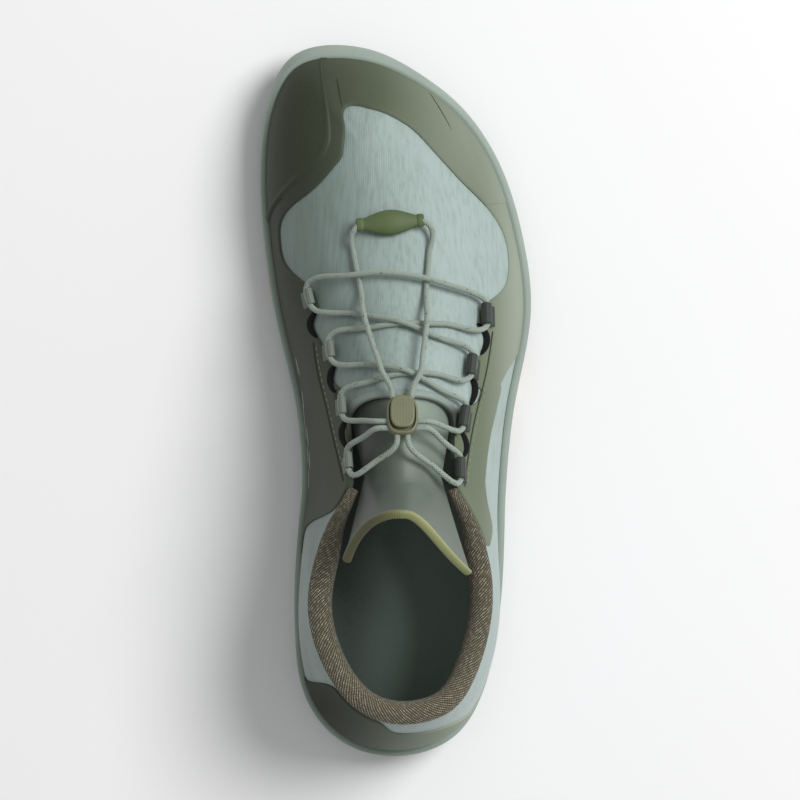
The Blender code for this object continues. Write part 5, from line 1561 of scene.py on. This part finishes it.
# Places of the side's pale dashes as q and v
DASHES = (
    (0.528, 0.20), (0.486, 0.23), (0.469, 0.20), (0.449, 0.17), (0.441, 0.26), (0.420, 0.20), (0.413, 0.28),
    (0.391, 0.21),
)


def even(share):
    """A ribbon's width along it: the same throughout."""
    return np.ones(len(share))


def blunt(share):
    """A ribbon's width along it: an oval with short square ends."""
    return np.sqrt(BLUNT_END - (2 * share - 1) ** 2)


def pointed(share):
    """A ribbon's width along it: an oval that closes to a tenth at its ends."""
    return np.sqrt(np.maximum(1 - (2 * share - 1) ** 2, 0.01))


def laid_ribbon(places, half_width, profile, lift, thickness):
    """A flat ribbon on the foot through places in plan: rows along it, five points across, thin at its
    edges."""
    knots = lengths_along(places)
    t = np.linspace(0, knots[-1], max(6, int(knots[-1] / RIBBON_STEP)))
    line = spline(knots, places)(t)
    run = unit(np.gradient(line, axis=0))
    aside = np.stack([-run[:, 1], run[:, 0]], axis=-1)
    across = np.array([-1, -0.8, 0, 0.8, 1])
    rise = np.array([0.3, 1, 1, 1, 0.3]) * thickness
    top, base = [], []
    for place, way, width in zip(line, aside, half_width * profile(t / knots[-1])):
        spots = place + np.outer(across * width, way)
        top.append([lifted(spot, lift + up) for spot, up in zip(spots, rise)])
        base.append([lifted(spot, lift) for spot in spots])
    return np.array(top), np.array(base)


def slot_shadow_pieces(dark):
    """Painted shadow in the crescent cut-outs at the foot of the loops: dark lenses bent through three
    places.
    """
    grids = []
    for slot in SLOTS:
        start, bulge, end = on_foot(slot)
        line = bent(start, 2 * bulge - (start + end) / 2, end, np.linspace(0, 1, 7)[:, None])
        half = SLOT_WIDTH / 2 * min(1.0, np.linalg.norm(end - start) / (8 * MM))
        grids.append(laid_ribbon(line, half, pointed, FILM_BASE + FILM - 0.1 * MM, 0.22 * MM))
    worn_patches("eyelet_slot_shadows", grids, dark)


# Seam lines: on the toe as q and v, the overlap in front of the vamp and the crease on the outer side; on the
# eyestays of both quarters as shares across and along
TOE_SEAMS = (
    ((0.980, 0.53), (0.972, 0.665), (0.957, 0.775)),
    ((-0.893, 0.265), (-0.883, 0.305), (-0.866, 0.355), (-0.836, 0.408)),
)
EYESTAY_SEAMS = (
    ((-0.306, 0.080), (-0.291, 0.041), (-0.266, 0.000), (-0.242, -0.041), (-0.200, -0.112)),
    ((0.338, 0.095), (0.313, 0.041), (0.273, -0.017), (0.239, -0.077), (0.222, -0.122)),
)
SEAM_WIDTH = 0.55 * MM
SEAM_THICKNESS = 0.12 * MM
STITCH_LENGTH = 1.5 * MM
STITCH_STEP = 2.6 * MM
STITCH_WIDTH = 0.35 * MM
STITCH_THICKNESS = 0.15 * MM
STITCH_OFFSET = 1.0 * MM
DASH_LENGTH = 3.0 * MM
DASH_WIDTH = 0.6 * MM
DASH_THICKNESS = 0.08 * MM


def on_foot(places):
    """Shares across and along as places in plan."""
    return np.array([plan_place(*place) for place in places])


def wall_ribbon(line, half_width, lift, thickness):
    """A narrow ribbon on the wall along a line of q and v: three points across, thin at its sides and its
    ends."""
    line = np.asarray(line, float)
    knots = lengths_along(line)
    t = np.linspace(0, knots[-1], 13)
    q, v = spline(knots, line)(t).T
    middle, normal = skin(q, v), facing(bare_last, q, v)
    aside = np.cross(normal, unit(np.gradient(middle, axis=0)))
    width = half_width * blunt(t / knots[-1])
    base = middle[:, None] + aside[:, None] * (width[:, None] * np.array([-1, 0, 1]))[..., None]
    base = base + normal[:, None] * lift
    return base + normal[:, None] * (np.array([0.3, 1, 0.3]) * thickness)[None, :, None], base


def seam_piece(finish, toe_height, eyestay_height):
    """Seam lines: thin raised cords along their places, on the films."""
    half = SEAM_WIDTH / 2
    grids = [wall_ribbon(line, half, toe_height, SEAM_THICKNESS) for line in TOE_SEAMS]
    for line in EYESTAY_SEAMS:
        grids.append(laid_ribbon(on_foot(line), half, even, eyestay_height, SEAM_THICKNESS))
    worn_patches("seam_lines", grids, finish)


def stitch_piece(finish, lift):
    """A row of stitches on the outer-foot side of each eyestay seam."""
    grids = []
    for places in EYESTAY_SEAMS:
        line = on_foot(places)
        knots = lengths_along(line)
        curve = spline(knots, line)
        t = np.arange(STITCH_STEP, knots[-1] - STITCH_STEP, STITCH_STEP)
        way = unit(curve(t + 0.1 * MM) - curve(t))
        aside = np.stack([way[:, 1], -way[:, 0]], axis=1) * STITCH_OFFSET
        for place, run in zip(curve(t) - aside, way):
            thread = place + np.outer([-0.5, 0, 0.5], run) * STITCH_LENGTH
            grids.append(laid_ribbon(thread, STITCH_WIDTH / 2, blunt, lift, STITCH_THICKNESS))
    worn_patches("eyestay_stitches", grids, finish)


def dash_piece(finish, lift):
    """Small pale dashes along the inner quarter."""
    reach = DASH_LENGTH / SHOE_LENGTH
    lines = [((q - reach, v), (q, v), (q + reach, v)) for q, v in DASHES]
    grids = [wall_ribbon(line, DASH_WIDTH / 2, lift, DASH_THICKNESS) for line in lines]
    worn_patches("side_dashes", grids, finish)


# Finishes of the shoe's materials, some with painted light and shade

def ribbed_textile():
    """Pale woven textile: fine cross ribs and soft streaks along the foot, bluer and smoother to the outer
    side, darker on the inner side, partly painted shade."""
    f = Finish("pale_ribbed_textile", 0.62, Sheen_Weight=0.25, Sheen_Roughness=0.4)
    streaks = f.noise((700, 60, 700), 4, 0.6)
    # darker inner side: partly painted shade on the inner slope, partly the textile's own bluer outer tone
    side = f.ramp(f.axis(0), -0.044, 0.020)
    base = f.mix(side, (118, 134, 127), (159, 176, 172))
    base = f.tint(base, f.ramp(streaks, 0.40, 0.72), 0.55, f.tint((104, 120, 112), side, 0.45, base))
    f.paint(f.tint(base, f.ramp(f.noise((40, 22, 40)), 0.45, 0.7), 0.3, (168, 184, 180)))
    cells = (1400, 1400, 300)
    weave = f.both(f.ridges(cells, source=f.place), 0.6, f.ridges(cells, "Y", 1.0, source=f.place), 0.4)
    f.relief(streaks, 0.0005, 0.35, f.relief(weave, 0.00012, 0.55))
    return f.made


def hem_tape():
    """Hem tape: pale at the vamp, dark along the eyestays."""
    f = Finish("hem_tape", 0.6, Sheen_Weight=0.2)
    fine = f.noise(1200)
    pale = f.mix(fine, (124, 138, 130), (150, 164, 156))
    f.paint(f.mix(f.ramp(f.axis(1), 0.000, -0.006), pale, (50, 56, 46)))
    f.relief(fine, 0.00012, 0.5)
    return f.made


def olive_film(name, dark, light, roughness=0.48, shine=0.2):
    """Thin moulded film: darker on the inner side, partly its own tone and partly painted shade, with
    painted shade low at the heel's inner side; painted light towards the outer side and over the forefoot.
    """
    f = Finish(name, roughness, Specular_IOR_Level=shine)
    across, along = f.axis(0), f.axis(1)
    # darker to the inner side: partly the film's own olive-brown tone, partly painted shade
    side = f.ramp(across, -0.05, 0.035)
    clouds = f.noise((30, 20, 30), 3)
    grain = f.noise(1600)
    base = f.mix(f.both(side, 0.8, clouds, 0.2), dark, light)
    # painted light over the forefoot's outer part
    base = f.tint(base, f.ramp(along, 0.045, 0.115), f.ramp(across, -0.010, 0.035), (128, 137, 121))
    # painted light on the far outer side
    base = f.mix(f.ramp(across, 0.030, 0.052), base, (150, 160, 145))
    # painted shade on the heel's inner side
    base = f.tint(base, f.ramp(along, -0.085, -0.125), f.maths("SUBTRACT", 1.0, side), (26, 30, 22))
    f.paint(f.tint(base, grain, 0.15, (118, 124, 106)))
    rubbed = f.add("MapRange", {"Value": clouds, "To Min": roughness - 0.06, "To Max": roughness + 0.12})
    f.feed(f.shader, {"Roughness": rubbed})
    f.relief(grain, 0.00008, 0.5)
    return f.made


def sole_rubber():
    """Rubber: pale at the rim, green under the foot, a yellow band in a brown zone drawn by the band
    distance."""
    f = Finish("sole_rubber", 0.55, Specular_IOR_Level=0.4)
    band = f.add("Attribute", attribute_name="band").outputs["Fac"]
    wave = f.maths("MULTIPLY", f.maths("SUBTRACT", f.noise(60), 0.5), 7.0)
    away = f.maths("ADD", band, wave)
    cloud = f.noise(45, 3)
    green = f.mix(cloud, (92, 122, 108), (122, 150, 134))
    brown = f.mix(cloud, (84, 76, 62), (106, 96, 78))
    under = f.mix(f.ramp(away, 5.5, 8.5), brown, green)
    under = f.mix(f.ramp(away, -0.6, 0.6), (222, 203, 140), under)
    rim = f.mix(cloud, (134, 148, 138), (154, 168, 158))
    f.paint(f.mix(f.ramp(f.axis(2), 0.0065, 0.010), under, rim))
    f.relief(f.noise((250, 90, 250), 4, 0.7), 0.0003, 0.25, f.relief(f.noise(2200), 0.0001, 0.6))
    return f.made


def footbed_foam():
    """Dark foam with fine cells, painted shade on the inner side and painted light on the outer side."""
    f = Finish("footbed_foam", 0.9, Sheen_Weight=0.3)
    cells = f.noise(1800, 3)
    # painted shade and light: dark on the inner side, light on the outer side
    base = f.mix(f.ramp(f.axis(0), -0.022, 0.014), (34, 41, 36), (150, 168, 157))
    base = f.tint(base, f.noise((35, 18, 35)), 0.4, (98, 114, 104))
    f.paint(f.tint(base, cells, 0.3, (126, 142, 132)))
    f.relief(cells, 0.0002, 0.6)
    return f.made


def ribbed_knit():
    """Collar knit: diagonal ribs about a millimetre apart, brown-beige with a reddish tint, painted light at
    the heel's back.
    """
    f = Finish("collar_rib_knit", 0.85, Sheen_Weight=0.12, Sheen_Roughness=0.5)
    rib = f.ridges(1050, "X", 2.4, 2.0, turn=0.8)
    stitch = f.ridges(1500, "X", 1.0, 1.0, turn=-0.75)
    fleck = f.noise((500, 900, 500), turn=0.8, source=f.cloth)
    base = f.mix(f.noise(60, 3), (98, 94, 72), (122, 116, 92))
    # painted light: lighter at the heel's back
    base = f.tint(base, f.ramp(f.axis(1), -0.075, -0.120), 0.6, (152, 144, 120))
    light = f.mix(f.ramp(fleck, 0.45, 0.62), base, (180, 174, 150))
    groove = f.maths("MULTIPLY", rib, f.maths("MULTIPLY_ADD", stitch, 0.75, 0.25))
    f.paint(f.mix(f.ramp(groove, 0.15, 0.7), (62, 58, 45), light))
    f.relief(f.both(rib, 0.7, stitch, 0.3), 0.0004, 0.8)
    return f.made


def tongue_satin():
    """Tongue cloth: smooth satin weave, dark, with a painted grey-green sheen from the middle to the outer
    side and painted shade on the inner side and towards the free end.
    """
    f = Finish("tongue_satin", 0.38, Sheen_Weight=0.3, Sheen_Roughness=0.3)
    cloud = f.noise((40, 30, 40), 3)
    # painted sheen: dark on the inner side, lit from the middle outwards
    base = f.mix(f.ramp(f.axis(0), -0.015, 0.006), (50, 58, 50), (152, 168, 155))
    # painted shade towards the tongue's free end
    base = f.tint(base, f.ramp(f.axis(1), 0.010, -0.045), 0.7, (48, 56, 49))
    f.paint(f.tint(base, cloud, 0.4, (88, 94, 82)))
    f.relief(cloud, 0.0006, 0.3, f.relief(f.ridges(1600, "X", 0.5, turn=0.7), 0.0001, 0.4))
    return f.made


def band_tape():
    """Folded tape on the tongue's edge: yellow-olive, painted shade on the inner side and painted light on
    the outer side.
    """
    f = Finish("tongue_edge_tape", 0.5, Sheen_Weight=0.2)
    ribs = f.ridges(1100)
    # painted shade to the inner side, painted light to the outer side
    base = f.mix(f.ramp(f.axis(0), -0.014, 0.012), (76, 76, 40), (160, 165, 110))
    f.paint(f.tint(base, ribs, 0.3, (90, 88, 44)))
    f.relief(ribs, 0.0002, 0.5)
    return f.made


def webbing(name, dark, light):
    """Woven tape: ribs both ways, the second colour on their crests."""
    f = Finish(name, 0.6, Sheen_Weight=0.15)
    weave = f.both(f.ridges(1300), 0.5, f.ridges(1300, "Y"), 0.5)
    f.paint(f.mix(weave, dark, light))
    f.relief(weave, 0.0002, 0.6)
    return f.made


def braided_cord():
    """Elastic cord: two crossed diagonal ribs make the braid, with dark flecks in it."""
    f = Finish("braided_cord", 0.65, Sheen_Weight=0.2)
    braid = f.maths("MAXIMUM", f.ridges(1250, turn=0.75), f.ridges(1250, turn=-0.75))
    flecks = f.noise((1300, 420, 1000), turn=0.6, source=f.cloth)
    base = f.mix(braid, (112, 124, 112), (158, 172, 160))
    f.paint(f.mix(f.ramp(flecks, 0.62, 0.70), base, (66, 74, 66)))
    f.relief(braid, 0.00025, 0.8)
    return f.made


def dotted_plastic():
    """The cord lock button's plastic with rows of small raised dots."""
    f = Finish("cord_lock_dots", 0.42, Specular_IOR_Level=0.5)
    spots = f.ramp(f.maths("MULTIPLY", f.ridges(900), f.ridges(900, "Y")), 0.45, 0.7)
    f.paint(f.mix(spots, f.mix(f.noise(200), (106, 108, 82), (124, 126, 98)), (128, 130, 100)))
    f.relief(spots, 0.0003, 0.7)
    return f.made


def grained(name, dark, light, roughness=0.8, cells=900, depth=0.1 * MM, strength=0.5, clouds=(), shine=0.5):
    """A plain finish with a fine grain. Two colours mix by the grain, or by coarser clouds given as cells,
    detail."""
    f = Finish(name, roughness, Specular_IOR_Level=shine)
    grain = f.noise(cells)
    f.paint(f.mix(f.noise(*clouds) if clouds else grain, dark, light))
    f.relief(grain, depth, strength)
    return f.made


# Dressing the shoe

lining = grained("lining", (128, 140, 130), (152, 164, 154), 0.85, depth=0.2 * MM)
upper_piece(ribbed_textile(), lining, hem_tape())
side_film = olive_film("side_film", (35, 39, 30), (103, 114, 90))
toe_film = olive_film("big_toe_film", (40, 46, 32), (84, 92, 70))
heel_film = olive_film("heel_film", (32, 37, 28), (172, 184, 166), 0.65, 0.06)
window = window_edge()
film_piece("toe_cap", side_film, TOE_CAP_INNER, TOE_CAP_OUTER, layer=0.5, window=window)
film_piece("big_toe_panel", toe_film, inner=BIG_TOE_FILM, layer=1.0, bead=BEAD)
film_piece("quarter_inner", side_film, inner=QUARTER_INNER, tuck=FILM_TUCK, window=window)
film_piece("quarter_outer", side_film, outer=QUARTER_OUTER, tuck=FILM_TUCK, window=window)
film_piece("heel_counter", heel_film, HEEL_FILM_INNER, HEEL_COUNTER_OUTER)
outsole_piece(sole_rubber())
red = grained("red_rubber_tread", (140, 22, 46), (176, 38, 66), 0.5, 2000, strength=0.6, clouds=(90, 3))
red_tread_piece(red)
insole_piece(footbed_foam())
collar_piece(ribbed_knit())
tongue_piece(tongue_satin())
tongue_band_piece(band_tape())
throat_hem_piece(hem_tape())
# the slots' near-black is painted shadow of the hollows under the films' cut edges
slot_shadow_pieces(grained("slot_painted_shadow", (4, 5, 4), (14, 16, 14), shine=0.15))
on_film = FILM_BASE + FILM
on_cap = FILM_BASE + 1.5 * FILM
seam_piece(grained("seam_shadow", (44, 47, 36), (62, 66, 52), shine=0.15), on_cap, on_film)
stitch_piece(grained("stitch_thread", (118, 122, 100), (150, 154, 130), shine=0.15), on_film)
dash_piece(grained("dash_foil", (196, 206, 200), (222, 230, 226), shine=0.15), on_film)
dark_webbing = webbing("dark_webbing", (22, 27, 22), (58, 66, 58))
pale_webbing = webbing("pale_webbing", (88, 98, 88), (122, 132, 120))
for number, mouths in enumerate(INNER_LOOPS, 1):
    loop_piece(f"inner_{number}", mouths, -1, pale_webbing, LOOP_LENGTH, 0.45)
for number, mouths in enumerate(OUTER_LOOPS, 1):
    loop_piece(f"outer_{number}", mouths, 1, dark_webbing, 1.3 * LOOP_LENGTH, 1.0)
cord_finish = braided_cord()
lace_pieces(cord_finish)
grip_finish = grained("grip_rubber", (66, 84, 46), (86, 104, 60), 0.6, 1800, 0.15 * MM, clouds=(160, 3))
pull_pieces(cord_finish, grip_piece(grip_finish))
lock_colours = ((104, 106, 80), (122, 124, 96))
lock_finish = grained("cord_lock_plastic", *lock_colours, 0.42, 2500, 0.05 * MM, clouds=(200,))
cord_lock_pieces(lock_finish, dotted_plastic())


# Floor, light and camera

FLOOR_HALF = 2.5
FLOOR_CLEAR = 0.05 * MM
SKY = 0.39


def studio_floor():
    """A plain pale floor under the lugs, far wider than the view."""
    flat = FLOOR_HALF * np.array([[-1, -1, 0], [1, -1, 0], [1, 1, 0], [-1, 1, 0]])
    corners = flat - [0, 0, FLOOR_CLEAR]
    f = Finish("studio_paper", 0.9)
    f.paint(f.mix(f.noise(3), (246, 246, 247), (250, 250, 251)))
    made = made_piece("studio_floor", corners, np.array([[0, 1, 2, 3]]), [f.made])
    if made.data.polygons[0].normal.z < 0:
        made.data.flip_normals()


def area_light(name, place, aim, size, power):
    """A round area light at a place, turned to a point."""
    data = bpy.data.lights.new(name, "AREA")
    data.shape = "DISK"
    data.size = size
    data.energy = power
    made = bpy.data.objects.new(name, data)
    made.location = place
    made.rotation_euler = (Vector(aim) - Vector(place)).to_track_quat("-Z", "Y").to_euler()
    bpy.context.scene.collection.objects.link(made)


def photo_camera():
    """A long lens straight above the shoe, a little to its inner side, as the photograph has it."""
    place, middle = Vector((-0.0624, -0.0024, 1.8)), Vector((0.001, 0.0, 0.03))
    data = bpy.data.cameras.new("photo_camera")
    data.lens = 200
    data.sensor_width = 36
    data.clip_end = 20
    made = bpy.data.objects.new("photo_camera", data)
    made.location = place
    back = (place - middle).normalized()
    right = Vector((0, 1, 0)).cross(back).normalized()
    up = back.cross(right)
    made.rotation_euler = Matrix((right, up, back)).transposed().to_euler()
    bpy.context.scene.collection.objects.link(made)
    bpy.context.scene.camera = made


studio_floor()
area_light("key", place=(1.25, 0.75, 1.8), aim=(0, 0, 0.03), size=1.25, power=42.5)
world = bpy.data.worlds.new("studio")
world.use_nodes = True
world.node_tree.nodes["Background"].inputs["Color"].default_value = (1, 1, 1, 1)
world.node_tree.nodes["Background"].inputs["Strength"].default_value = SKY
bpy.context.scene.world = world
bpy.context.scene.view_settings.view_transform = "Standard"
photo_camera()
